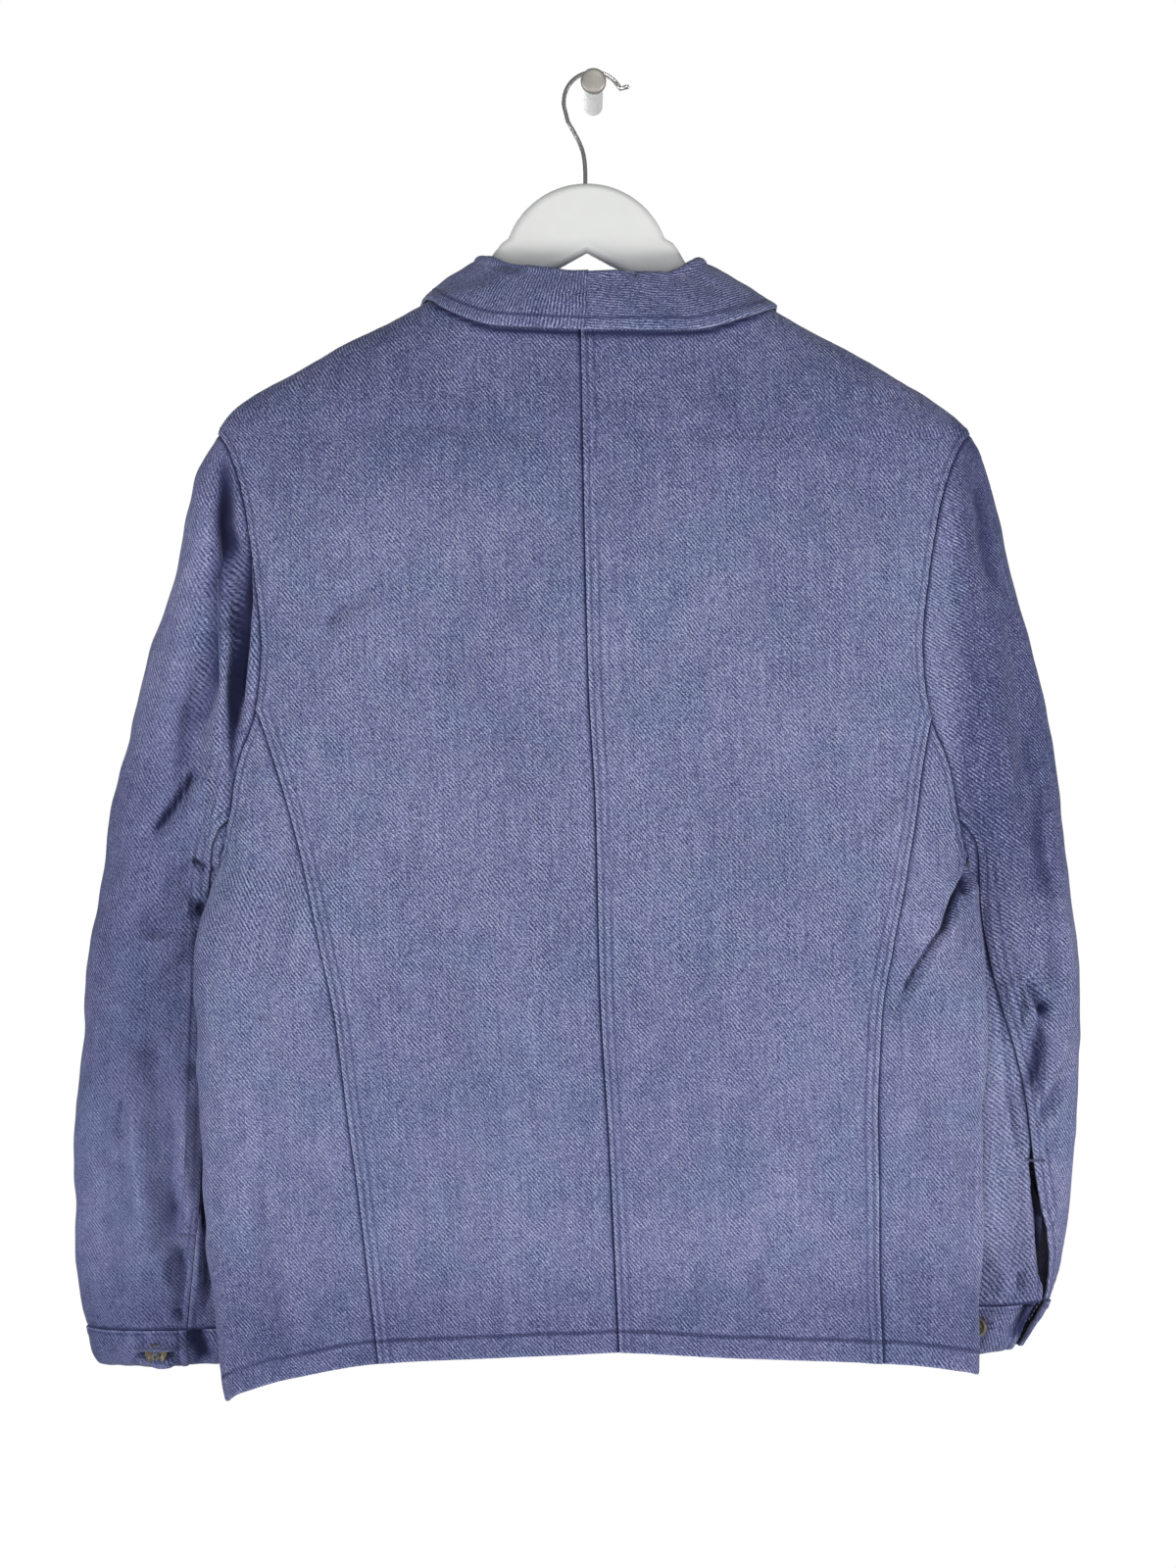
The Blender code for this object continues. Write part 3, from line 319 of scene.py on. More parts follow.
# Where the dome flares into the arms, inside the collar.
ARM_ROOT = table(
    "drop left right",
    (107, -61.5, 53.5),
    (112.5, -66, 57.5),
    (117, -69, 60),
    (123, -71.5, 64),
    (132, -80.5, 74),
    (140.5, -90, 86),
)
ARM_APEX_DROP = 113.5
ARM_UNDERSIDE_SLOPE = 0.548
ARM_CORNER = 8.0  # of the arm's end, underneath
STEM_DEPTH = 18.0


# ---------------------------------------------------------------- reading the tables
def read(columns, name, at):
    """One column of a table at any value of its first column, as a smooth curve with no overshoot."""
    x = next(iter(columns.values()))
    y = columns[name]
    step = np.diff(x)
    slope = np.diff(y) / step
    tangent = np.empty_like(y)
    tangent[0], tangent[-1] = slope[0], slope[-1]
    before, after = slope[:-1], slope[1:]
    same_way = before * after > 0
    total = np.where(same_way, before + after, 1)
    tangent[1:-1] = np.where(same_way, 2 * before * after / total, 0)
    at = np.asarray(at, float)
    i = np.clip(np.searchsorted(x, at) - 1, 0, len(x) - 2)
    s = np.clip((at - x[i]) / step[i], 0, 1)
    return (
        y[i] * (1 + 2 * s) * (1 - s) ** 2
        + tangent[i] * step[i] * s * (1 - s) ** 2
        + y[i + 1] * s * s * (3 - 2 * s)
        + tangent[i + 1] * step[i] * s * s * (s - 1)
    )


def numbered(columns):
    """A table without a first column of its own, read by row number."""
    rows = len(next(iter(columns.values())))
    return {"row": np.arange(rows, dtype=float), **columns}


def on_line(x, drop, x1, drop1, x2, drop2):
    """How far along a line a place lies, as a share of its length, and how far beside it."""
    along_x, along_d = x2 - x1, drop2 - drop1
    length = math.hypot(along_x, along_d)
    share = ((x - x1) * along_x + (drop - drop1) * along_d) / length**2
    return share, ((x - x1) * along_d - (drop - drop1) * along_x) / length


def folds_at(folds, x, drop):
    """Height of a set of folds at a place, each a soft ridge or trough that fades at its ends."""
    total = np.zeros(np.broadcast(x, drop).shape)
    for *line, half_width, height in zip(*folds.values()):
        s, off = on_line(x, drop, *line)
        fade = np.clip(s * 4 + 0.25, 0, 1) * np.clip((1 - s) * 4 + 0.25, 0, 1)
        total = total + height * bell(off, half_width) * fade * fade * (3 - 2 * fade)
    return total


def unit(vectors):
    """Vectors at a length of 1. One without a length stays 0."""
    return vectors / np.maximum(np.linalg.norm(vectors, axis=-1, keepdims=True), 1e-9)


def smooth(share):
    """A share held between 0 and 1, with a soft start and end."""
    share = np.clip(share, 0, 1)
    return share * share * (3 - 2 * share)


def bell(off, half_width):
    """1 at a line, and falling to nearly 0 at twice the half width from it."""
    return np.exp(-((off / half_width) ** 2))


# ---------------------------------------------------------------- the body
def body_point(turn, drop):
    """A point outside the body: turn 0 is the centre back, -0.5 and 0.5 the sides, 1 the centre front."""
    turn, drop = np.broadcast_arrays(np.asarray(turn, float), np.asarray(drop, float))
    turn = np.where(turn > 1, turn - 2, np.where(turn < -1, turn + 2, turn))
    to_side = np.sin(np.pi * np.abs(turn))
    behind = np.abs(turn) < 0.5
    end = np.where(turn < 0, read(BODY, "left", drop), read(BODY, "right", drop))
    centre = np.where(behind, read(CENTRE_BACK, "x", drop), 0.0)
    x = end * to_side + centre * (1 - to_side)
    fullness = (1 - to_side**BODY_FULLNESS) ** (1 / BODY_FULLNESS)
    back = read(BODY, "back", drop) + folds_at(BODY_FOLDS["back"], x, drop)
    front = read(BODY, "front", drop) + folds_at(BODY_FOLDS["front"], x, drop)
    y = read(BODY, "ends_y", drop) + fullness * np.where(behind, -back, front)
    return np.stack([x, y, -drop], axis=-1)


def body_normal(turn, drop):
    """The way the outside of the body faces."""
    turn, drop = np.asarray(turn, float), np.asarray(drop, float)
    across = body_point(turn + 0.002, drop) - body_point(turn - 0.002, drop)
    down = body_point(turn, drop + 0.5) - body_point(turn, drop - 0.5)
    return -unit(np.cross(across, down))


def turn_at(side, x, drop, centre):
    """Turn of a place on the body, without its sign, from the x of the place and of the centre."""
    share = np.clip((x - centre) / (read(BODY, SIDES[side], drop) - centre), 0, 1)
    return np.arcsin(share) / np.pi


def seam_turn(side, drop):
    """Turn of a back seam at a drop, without its sign."""
    return turn_at(side, read(BACK_SEAMS, SIDES[side], drop), drop, read(CENTRE_BACK, "x", drop))


def armhole(side, step):
    """Turn and drop of the armhole, from step 0 at the shoulder down the back, and up the front."""
    step = np.asarray(step, float)
    down = 1 - np.abs(1 - step / ARMHOLE_STEPS)
    reach = np.where(
        step <= ARMHOLE_STEPS,
        -read(ARMHOLE, "back", down),
        read(ARMHOLE, "front", down),
    )
    height = UNDERARM_DROP - SHOULDER_DROP
    return side * (0.5 + reach), SHOULDER_DROP + height * (1 - np.cos(np.pi * down)) / 2


def neckline(side, around):
    """Turn and drop of the neck seam, from the centre back (0 degrees) to the centre front (180)."""
    angle = np.radians(np.asarray(around, float))
    dip = np.where(angle < np.pi / 2, BACK_NECK_DIP, FRONT_NECK_DIP)
    drop = NECK_DROP + dip * np.abs(np.cos(angle))
    centre = np.where(angle < np.pi / 2, read(CENTRE_BACK, "x", drop), 0.0)
    x = read(BODY, SIDES[side], NECK_DROP) * np.sin(angle) + centre * (1 - np.sin(angle))
    turn = turn_at(side, x, drop, centre)
    return side * np.where(angle < np.pi / 2, turn, 1 - turn), drop


def hem_drop(turn):
    """Drop of the hem at a turn."""
    return np.where(turn < 0, read(HEM, "left", np.abs(turn)), read(HEM, "right", np.abs(turn)))


# ---------------------------------------------------------------- the sleeves
def oval(sections, turn, row):
    """A point of a tube: turn 0 is its outer line, 0.25 its back, 0.5 its inner line and 0.75 its front."""
    at = {name: read(sections, name, row) for name in sections if name != "row"}
    outer = np.stack([at["outer_x"], at["middle_y"], -at["outer_drop"]], axis=-1)
    inner = np.stack([at["inner_x"], at["middle_y"], -at["inner_drop"]], axis=-1)
    angle = 2 * np.pi * np.asarray(turn, float)[..., None]
    inwards = (1 - np.cos(angle[..., 0])) / 2
    reach = at["half_depth"] * (1 - INNER_PINCH * inwards)
    depth = np.stack([0 * reach, -reach, 0 * reach], axis=-1)
    return (outer + inner) / 2 + (outer - inner) / 2 * np.cos(angle) + depth * np.sin(angle)


def sleeve_point(side, turn, row):
    """A point outside a sleeve, row 0 on the armhole and the last row on the cuff's seam."""
    turn, row = np.broadcast_arrays(np.asarray(turn, float), np.asarray(row, float))
    sections = numbered(SLEEVES[side])
    point = oval(sections, turn, row)
    step = np.mod(turn, 1) * 2 * ARMHOLE_STEPS
    hole = body_point(*armhole(side, step))
    drift = hole - oval(sections, turn, 0 * row)
    point = point + drift * (np.clip(1 - row / CAP_SECTIONS, 0, 1) ** 2)[..., None]
    behind = np.clip(np.sin(2 * np.pi * turn), 0, 1) ** 0.7 * np.clip(row / FOLD_SECTIONS, 0, 1)
    point[..., 1] -= behind * folds_at(SLEEVE_FOLDS[side], point[..., 0], -point[..., 2])
    return point


def vent_turns(side, row):
    """Half the vent's opening, in turns of the sleeve."""
    last_row = len(SLEEVES[side]["seam"]) - 1
    opened = np.clip((row - VENT_START) / (last_row - VENT_START), 0, 1)
    return VENT_OPENING[side] / SLEEVE_GIRTH / 2 * np.sqrt(opened)


def cuff_turns(side):
    """Turns round a cuff, from the vent's upper edge round the front to its under edge."""
    last_row = len(SLEEVES[side]["seam"]) - 1
    hind = SLEEVES[side]["seam"][-1]
    fore = FORE_SEAM["turn"][-1]
    opening = vent_turns(side, last_row)
    steps = HIND_SEAM_STEP + 2 * ARMHOLE_STEPS - FORE_SEAM_STEP
    upper = np.linspace(hind - opening, fore - 1, steps + 1)
    end = hind + opening * VENT_UNDER_SHARE
    under = np.linspace(fore, end, FORE_SEAM_STEP - HIND_SEAM_STEP + 1) - 1
    tucked = [under[-1] - CUFF_UNDERLAP[side] * k / 3 for k in (1, 2, 3) if CUFF_UNDERLAP[side]]
    return np.concatenate([upper, under[1:], tucked])


def cuff_point(side, turn, row):
    """A point outside a cuff. Past a whole turn it runs in behind its own start."""
    start = cuff_turns(side)[0]
    tucked = np.clip((start - 1 + TUCK_START - turn) / TUCK_RUN, 0, 1)
    point = oval(numbered(CUFFS[side]), turn, row)
    middle = oval(numbered(CUFFS[side]), turn + 0.5, row) / 2 + point / 2
    return point + unit(middle - point) * (CUFF_TUCK * tucked * tucked * (3 - 2 * tucked))[..., None]


# ---------------------------------------------------------------- sewing and creases
CLOTH_THICKNESS = 1.3
EDGE_THINNING = 0.5  # of the cloth at its very edge
GROOVE = 0.42  # how deep a stitch row pulls the cloth in
GROOVE_WIDTH = 0.95
CREASE_GAIN = 1.8
SEWN_REACH = 28.0  # how far from a sewn edge its ripples end
CALM_REACH = 12.0  # how far from a sewn edge the cloth can't crease freely
CALM_SHARE = 0.25  # of a crease's height that is left at the edge itself

# How each kind of edge is sewn: the strip of doubled cloth along it and how far that stands
# out, how far the very edge rolls in, its stitch rows, the height of its ripples, and the
# thickness that the strip adds behind. A "shade" is no edge, but a line just below the
# collar's leaf along which the leaf's shadow is painted on the cloth.
SEWN = {
    name: dict(zip(("strip", "height", "lip", "rows", "ripple", "doubled"), values))
    for name, *values in (
        ("felled", 9.6, 1.0, 0.55, (3.4, 8.4), 0.3, 0.6),
        ("felled_wide", 12.6, 1.0, 0.6, (5.0, 11.0), 0.35, 0.6),
        ("felled_narrow", 5.4, 0.7, 0.6, (4.2,), 0.6, 0.6),
        ("under", 0.8, -0.5, 0.4, (), 0.3, 0.0),
        ("plain", 0.5, -0.3, 0.5, (), 0.35, 0.0),
        ("hem", 15.4, 0.35, 0.7, (14.4,), 0.35, 1.3),
        ("edge", 7.2, 0.3, 0.7, (6.2,), 0.2, 1.2),
        ("leaf", 9.0, 0.35, 0.8, (7.9,), 0.25, 1.0),
        ("vent", 6.0, 0.3, 0.6, (4.6,), 0.3, 0.8),
        ("band", 3.4, 0.5, 0.5, (2.4,), 0.45, 0.9),
        ("fold", 3.0, 0.1, 0.9, (), 0.2, 0.9),
        ("shade", 0.0, 0.0, 0.0, (), 0.0, 0.0),
    )
}
FREE_EDGES = ("hem", "edge", "leaf", "vent", "fold")
SHADIEST_ROWS = ("leaf", "hem")  # whose stitch rows get the darkest painted shade


def crease_table(*rows):
    """Fine creases as a table: folds whose lines are also bowed sideways."""
    return table("x1 drop1 x2 drop2 bow half_width height", *rows)


# The creases, beside the folds that the solids have, as seen from the back and from the front.
BODY_CREASES = {
    "back": crease_table(
        (251.5, 519, 247, 545, 0.8, 2.8, -5),
        (249, 530, 232, 570, -1.5, 2.2, -4.4),
        (238, 560, 205, 612, -2.5, 2, -3.4),
        (206, 608, 186, 634, 0, 5, -1.3),
        (254, 548, 212, 616, -3, 5, 2.2),
        (240, 522, 208, 584, 2, 7, 1.7),
        (246, 640, 239, 710, 0, 9, -1.6),
        (249, 700, 247, 800, 1, 7, -1.8),
        (226, 640, 216, 800, 3, 11, -1.2),
        (-178, 366, -144, 337, 2, 6, -1.5),
        (-176, 380, -150, 356, 0, 8, 0.9),
        (196, 468, 177, 505, 2, 8, -1.8),
        (206, 480, 188, 514, 2, 7, 1.2),
        (-180, 233, -26, 238, 3, 7, -0.9),
        (20, 236, 170, 230, -3, 8, -0.6),
        (12, 520, 34, 521, 1, 6, -0.8),
        (-120, 455, -60, 440, 6, 14, -0.9),
        (60, 380, 150, 340, 8, 18, -0.9),
        (-228, 470, -230, 570, 0, 11, 1.5),
        (-240, 440, -226, 500, 2, 9, -1.5),
        (-214, 540, -178, 640, -4, 12, -1.4),
        (-232, 600, -206, 760, 6, 12, -1.3),
        (-227, 717, -222, 815, 0, 9, -1.2),
        (-120, 560, -96, 720, 6, 20, -1.2),
        (-60, 520, -48, 640, 0, 22, 1.1),
        (60, 560, 74, 700, -5, 20, -1.2),
        (130, 600, 120, 760, 4, 18, 1.2),
        (150, 690, 160, 840, 0, 14, -1.4),
        (-150, 760, -146, 870, 0, 12, -1.6),
        (-34, 740, -30, 850, 0, 14, -1.3),
        (110, 760, 108, 860, 0, 12, -1.3),
        (214, 780, 212, 862, 0, 10, -1.2),
        (-196, 800, -190, 880, 0, 12, 1.2),
    ),
    "front": crease_table(
        (-238, 536, -206, 600, 2, 6, -2.8),
        (238, 536, 204, 606, 2, 6, -3),
        (-226, 512, -176, 612, 0, 9, 1.8),
        (228, 512, 182, 610, 0, 9, 1.8),
        (-180, 366, -120, 320, 3, 9, -1.6),
        (178, 360, 128, 322, 2, 8, -1.5),
        (-150, 260, -60, 240, 4, 12, -1.2),
        (60, 244, 150, 262, -4, 12, -1.2),
        (-30, 352, -70, 380, 3, 9, -1.6),
        (28, 352, 66, 372, -3, 9, -1.4),
        (-28, 472, -84, 500, 3, 9, -1.5),
        (28, 592, 80, 622, 3, 10, -1.4),
        (-190, 640, -176, 800, 6, 14, -1.8),
        (186, 660, 178, 820, -5, 14, -1.8),
        (-110, 600, -96, 740, 0, 18, -1.3),
        (96, 620, 112, 780, 0, 18, -1.3),
        (-52, 700, -46, 850, 0, 12, -1.5),
        (58, 720, 50, 855, 0, 12, -1.4),
        (-236, 700, -228, 830, 0, 10, -1.4),
        (236, 690, 226, 830, 0, 10, -1.4),
    ),
}
SLEEVE_CREASES = {
    -1: {
        "back": crease_table(
            (-249, 246, -266, 350, 3, 6, -2.4),
            (-243, 300, -235, 356, 3, 5, -2.6),
            (-236, 352, -240, 372, 0, 5, -1.6),
            (-250, 320, -258, 430, 2, 6, 1.6),
            (-244, 252, -259, 430, 2, 9, -6.4),
            (-268, 410, -300, 530, 3, 12, -2.4),
            (-302, 540, -300, 690, 3, 14, -1.8),
            (-290, 690, -286, 790, 2, 9, -1.6),
            (-229, 290, -242, 450, 2, 4.6, -6.4),
            (-240, 440, -245, 520, 1, 3, -3.6),
            (-264, 458, -297, 505, 2, 2.6, -3.2),
            (-258, 464, -288, 510, 2, 6, 2),
            (-270, 521, -252, 530, -1, 2.4, -4.4),
            (-268, 546, -262, 562, 0, 4, -4),
            (-256, 532, -304, 580, 7, 4, 2),
            (-252, 536, -300, 574, 7, 3.4, -2.4),
            (-258, 570, -300, 612, 4, 7, -1.6),
            (-272, 670, -266, 660, 0, 4, -2.6),
            (-319, 676, -312, 768, -2, 3.6, -1.9),
            (-312, 680, -305, 770, -3, 6, 1.6),
            (-284, 686, -280, 772, -2, 4, -2.2),
            (-265, 716, -264, 776, 0, 2.6, -4),
            (-290, 690, -274, 756, -2, 6, 1.4),
            (-278, 690, -276, 752, 0, 5, 1.6),
            (-282, 784, -290, 812, -6, 4, 2.2),
            (-280, 784, -280, 830, 3, 3, -2.6),
            (-282, 826, -277, 834, 0, 2.6, -3.4),
            (-268, 784, -270, 812, 0, 4, 2),
            (-328, 790, -322, 816, 0, 5, -1.8),
            (-304, 816, -294, 838, 0, 5, -1.9),
            (-336, 700, -330, 800, 0, 8, -1.2),
            (-310, 836, -306, 824, 0, 4, -1.2),
            (-272, 812, -268, 840, 0, 4, -1.6),
            (-286, 640, -276, 730, 3, 7, 1.4),
        ),
        "front": crease_table(
            (-256, 270, -270, 380, 3, 9, -2.4),
            (-246, 300, -240, 420, 2, 8, -2.6),
            (-264, 534, -300, 580, 3, 6, -2.8),
            (-262, 556, -312, 612, 4, 9, 2.2),
            (-262, 600, -306, 640, 3, 7, -2.2),
            (-320, 660, -306, 760, -3, 7, -1.8),
            (-286, 700, -276, 800, 2, 7, -1.8),
            (-330, 760, -318, 830, 0, 7, -1.6),
        ),
    },
    1: {
        "back": crease_table(
            (257, 258, 272, 345, -3, 8, -2.2),
            (280, 345, 297, 476, -3, 8, -1.2),
            (268, 360, 276, 470, -2, 9, 1.3),
            (238, 300, 232, 392, 2, 6, -2),
            (264, 262, 280, 440, -3, 16, -1.2),
            (290, 430, 303, 560, -3, 12, -1.8),
            (262, 546, 270, 610, -1, 2, -2.4),
            (272, 600, 287, 724, -1, 1.8, -2),
            (266, 590, 270, 790, 0, 13, 2.4),
            (301, 470, 309, 560, -2, 6, -2),
            (294, 600, 306, 626, -2, 3, -3.8),
            (287, 608, 290, 628, 0, 3.6, -1.8),
            (308, 612, 296, 684, -3, 5, -2.8),
            (322, 640, 298, 684, 2, 6, 2.2),
            (316, 670, 301, 700, 2, 5, -2.6),
            (318, 686, 300, 712, 2, 5, 1.6),
            (312, 700, 300, 730, 2, 5, -1.4),
            (286, 560, 293, 610, 0, 6, 1.3),
            (318, 560, 322, 620, 0, 7, 1.4),
            (290, 520, 296, 600, 0, 5, -1.4),
            (287, 800, 288, 820, 0, 3.5, -2.6),
            (262, 780, 264, 826, 0, 7, -1.5),
            (276, 730, 280, 800, 0, 8, -1.2),
            (262, 560, 270, 640, 0, 8, -1.3),
            (308, 745, 309, 810, 0, 5, -1.3),
        ),
        "front": crease_table(
            (258, 270, 272, 384, -3, 9, -2.4),
            (248, 310, 244, 430, 2, 8, -2.6),
            (262, 534, 296, 584, 3, 6, -2.8),
            (262, 560, 306, 616, 4, 9, 2.2),
            (262, 606, 300, 650, 3, 7, -2.2),
            (316, 640, 296, 740, 3, 7, -1.8),
            (270, 690, 262, 790, 2, 7, -1.8),
            (306, 740, 298, 810, 0, 7, -1.6),
        ),
    },
}
VENT_CREASES = {  # of the under sleeve alone
    -1: crease_table((-262, 716, -262, 830, 0, 3, -4)),
    1: crease_table((298, 714, 311, 822, -2, 3.6, -6)),
}
CUFF_CREASES = {
    -1: {
        "back": crease_table(
            (-330, 846, -326, 866, 0, 5, -1),
            (-312, 842, -314, 856, 0, 4, -0.9),
            (-300, 862, -294, 868, 0, 6, 0.8),
            (-276, 844, -280, 864, 0, 5, -0.9),
            (-270, 822, -263, 866, -3, 8, -4.8),
            (-283, 846, -277, 866, 4, 3, 2.4),
            (-310, 857, -282, 857.4, 0, 2, -4.5),
            (-310, 852.2, -282, 852.4, 0, 3.2, 2),
            (-310, 861.4, -282, 861.6, 0, 2, 1.8),
        ),
        "front": crease_table((-300, 844, -296, 866, 0, 6, -1.2), (-270, 844, -268, 866, 0, 5, -1)),
    },
    1: {
        "back": crease_table(
            (262, 830, 260, 856, 0, 5, -1),
            (276, 832, 280, 854, 0, 6, -0.9),
            (303, 804, 288, 854, 0, 8, -5),
        ),
        "front": crease_table((280, 830, 276, 856, 0, 6, -1.2), (252, 834, 250, 860, 0, 5, -1)),
    },
}
COLLAR_CREASES = {
    -1: {
        "back": crease_table(
            (-66, 124, -46, 129, 1, 4, -1.6),
            (-20, 128, -8, 150, 2, 6, -0.8),
            (-100, 140, -70, 132, 2, 6, -0.8),
            (-40, 150, -24, 166, 0, 6, -0.7),
            (-84, 146, -70, 158, 1, 6, -0.7),
        ),
        "front": crease_table(
            (-104, 160, -70, 150, 3, 7, -1),
            (-92, 200, -50, 190, 3, 8, -1),
            (-80, 240, -60, 220, 2, 7, -0.9),
        ),
    },
    1: {
        "back": crease_table(
            (22, 129, 30, 134, 0, 3, -1.4),
            (60, 128, 86, 142, -2, 6, -0.9),
            (30, 144, 52, 160, 1, 6, -0.8),
            (90, 136, 108, 146, 0, 6, -0.7),
            (6, 134, 14, 152, 1, 5, -0.6),
        ),
        "front": crease_table(
            (104, 160, 70, 150, 3, 7, -1),
            (92, 204, 52, 190, 3, 8, -1),
            (80, 240, 60, 224, 2, 7, -0.9),
        ),
    },
}


def creases_at(creases, x, drop):
    """Height of a set of creases at a place. Each has low shoulders and fades at its ends."""
    total = np.zeros(np.broadcast(x, drop).shape)
    for *line, bow, half_width, height in zip(*creases.values()):
        s, off = on_line(x, drop, *line)
        off = off - bow * 4 * s * (1 - s)
        off = np.abs(off) / (half_width * (0.75 + 0.5 * np.clip(s, 0, 1)))
        fade = smooth(s * 3.5 + 0.3) * smooth((1 - s) * 3.5 + 0.3)
        total += height * fade * (bell(off, 1) - 0.2 * bell(off - 2.1, 1))
    return total


WAVES = ((95, 0.55, 4), (42, 0.22, 4), (19, 0.08, 5))  # length, height and number


def waves(u, v, seed):
    """The cloth's own unevenness: a sum of slanting waves, long and high or short and low."""
    draw = np.random.default_rng(seed)
    total = np.zeros(np.broadcast(u, v).shape)
    for length, height, count in WAVES:
        for _ in range(count):
            angle, phase = draw.uniform(0, 2 * np.pi, 2)
            size = length * draw.uniform(0.75, 1.3)
            lean = (u * np.cos(angle) * 1.2 + v * np.sin(angle) * 0.8) / size
            total += height * np.sin(2 * np.pi * lean + phase)
    return total


def distance_to(points, line):
    """Each point's distance from a line, and how far along the line its nearest place is."""
    flat = points.reshape(-1, 3)
    lengths = np.concatenate([[0], np.cumsum(np.linalg.norm(np.diff(line, axis=0), axis=1))])
    best, along = np.full(len(flat), 1e9), np.zeros(len(flat))
    low, high = line.min(0) - 30, line.max(0) + 30
    near = np.where(np.all((flat > low) & (flat < high), axis=1))[0]
    for chosen in np.array_split(near, len(near) // 2000 + 1):
        if not len(chosen):
            continue
        start, run = line[:-1], np.diff(line, axis=0)
        to = flat[chosen, None] - start[None]
        share = np.clip(np.sum(to * run, -1) / np.sum(run * run, -1), 0, 1)
        gap = np.linalg.norm(to - share[..., None] * run, axis=-1)
        pick = np.argmin(gap, axis=1)
        rows = np.arange(len(chosen))
        best[chosen] = gap[rows, pick]
        along[chosen] = lengths[pick] + share[rows, pick] * np.diff(lengths)[pick]
    return best.reshape(points.shape[:-1]), along.reshape(points.shape[:-1])


def sewn_height(sewn, away, along):
    """How far a sewn edge stands out at a distance from it and a place along it."""
    fall = smooth((sewn["strip"] + 2.6 - away) / 3.2)
    height = sewn["height"] * fall - sewn["lip"] * np.exp(-away / 0.7)
    for row in sewn["rows"]:
        height -= GROOVE * bell(away - row, GROOVE_WIDTH)
    ripple = np.sin(along / 2.2 + 2.4 * np.sin(along / 19) + 1.6 * np.sin(along / 7.3))
    reach = bell(away - sewn["strip"] * 0.6, sewn["strip"] * 0.7 + 3)
    return height + sewn["ripple"] * ripple * reach, fall


class Panel:
    """One cut piece of cloth: a surface with two parameters, its creases and its sewn edges."""

    def __init__(self, surface, steps, sign, creases, seed, grain, edges):
        self.surface, self.steps, self.sign = surface, steps, sign
        self.creases, self.seed, self.grain = creases, seed, grain
        self.edges = [(kind, a, b, surface(a, b)) for kind, a, b in edges]

    def slopes(self, a, b):
        """The surface's change with each parameter."""
        da, db = self.steps
        by_a = (self.surface(a + da, b) - self.surface(a - da, b)) / (2 * da)
        by_b = (self.surface(a, b + db) - self.surface(a, b - db)) / (2 * db)
        return by_a, by_b

    def at(self, a, b):
        """The finished surface: points, normals, thickness, its wear and painted highlight, and its dye and
        painted shade.
        """
        points = self.surface(a, b)
        by_a, by_b = self.slopes(a, b)
        normals = self.sign * unit(np.cross(by_b, by_a))
        x, drop = points[..., 0], -points[..., 2]
        u, v = self.grain(a, b)
        height = waves(u, v, self.seed)
        for facing, creases in self.creases.items():
            towards = normals[..., 1] if facing == "front" else -normals[..., 1]
            height += CREASE_GAIN * smooth(towards * 2.2 + 0.2) * creases_at(creases, x, drop)
        # Ridges wear pale and troughs get darker, both past a height of their own. The dark of the troughs is
        # partly dye that stayed and partly painted shade.
        wear_and_highlight, dye_and_shade = np.clip(height * 0.1 - 0.15, 0, 0.4), np.clip(-height * 0.2 - 0.7, 0, 2)
        edge_height, doubled, calm = 0 * height, 0 * height, 0 * height + 1
        for kind, _, _, line in self.edges:
            sewn = SEWN[kind]
            away, along = distance_to(points, line)
            rise, fall = sewn_height(sewn, away, along)
            if kind == "felled_narrow":
                rise = rise * smooth((drop - SHOULDER_DROP) / 20)
            edge_height += rise * smooth((SEWN_REACH - away) / 8)
            doubled = np.maximum(doubled, sewn["doubled"] * fall)
            calm = np.minimum(calm, CALM_SHARE + (1 - CALM_SHARE) * smooth(away / CALM_REACH))
            # Raised sewn edges and their strips wear pale, with a painted highlight on the rim. The cloth
            # beside a sunk edge, and along a "shade" line, gets a painted shadow.
            if sewn["height"] > 0:
                wear_and_highlight += (0.2 if kind == "felled_narrow" else 0.8) * bell(away, 1.3) + 0.12 * fall
            else:
                dye_and_shade += 1.3 * bell(away, 1.8)
            # Each stitch row gets painted shade in its groove, and a pale line on each side, partly wear and
            # partly painted highlight.
            for row in sewn["rows"]:
                dye_and_shade += (0.9 if kind in SHADIEST_ROWS else 0.5) * bell(away - row, 0.9)
                wear_and_highlight += 0.25 * bell(np.abs(away - row) - 1.9, 0.9)
        calm = np.maximum(calm, smooth(-height / 5 - 1))
        thickness = CLOTH_THICKNESS + doubled - EDGE_THINNING * np.exp(-self.nearest(points) / 0.6)
        points = points + normals * (height * calm + edge_height)[..., None]
        return {"points": points, "normals": normals, "thickness": thickness,
                "wear_and_highlight": wear_and_highlight, "dye_and_shade": dye_and_shade, "grain": np.stack([u, v], -1)}

    def nearest(self, points):
        """Distance from the nearest free edge."""
        free = [line for kind, _, _, line in self.edges if kind in FREE_EDGES]
        if not free:
            return np.full(points.shape[:-1], 1e3)
        return np.min([distance_to(points, line)[0] for line in free], axis=0)

    def beside(self, a, b, distance, towards):
        """A line moved across the surface by a distance, to the side where a place lies."""
        points = self.surface(a, b)
        by_a, by_b = self.slopes(a, b)
        normals = unit(np.cross(by_b, by_a))
        sideways = unit(np.cross(normals, np.gradient(points, axis=0)))
        middle = self.surface(np.array([towards[0]]), np.array([towards[1]]))
        if np.sum(sideways * (middle - points)) < 0:
            sideways = -sideways
        move = sideways * distance
        aa, ab, bb = (np.sum(p * q, -1) for p, q in ((by_a, by_a), (by_a, by_b), (by_b, by_b)))
        ma, mb = np.sum(move * by_a, -1), np.sum(move * by_b, -1)
        size = aa * bb - ab * ab
        return a + (ma * bb - mb * ab) / size, b + (mb * aa - ma * ab) / size


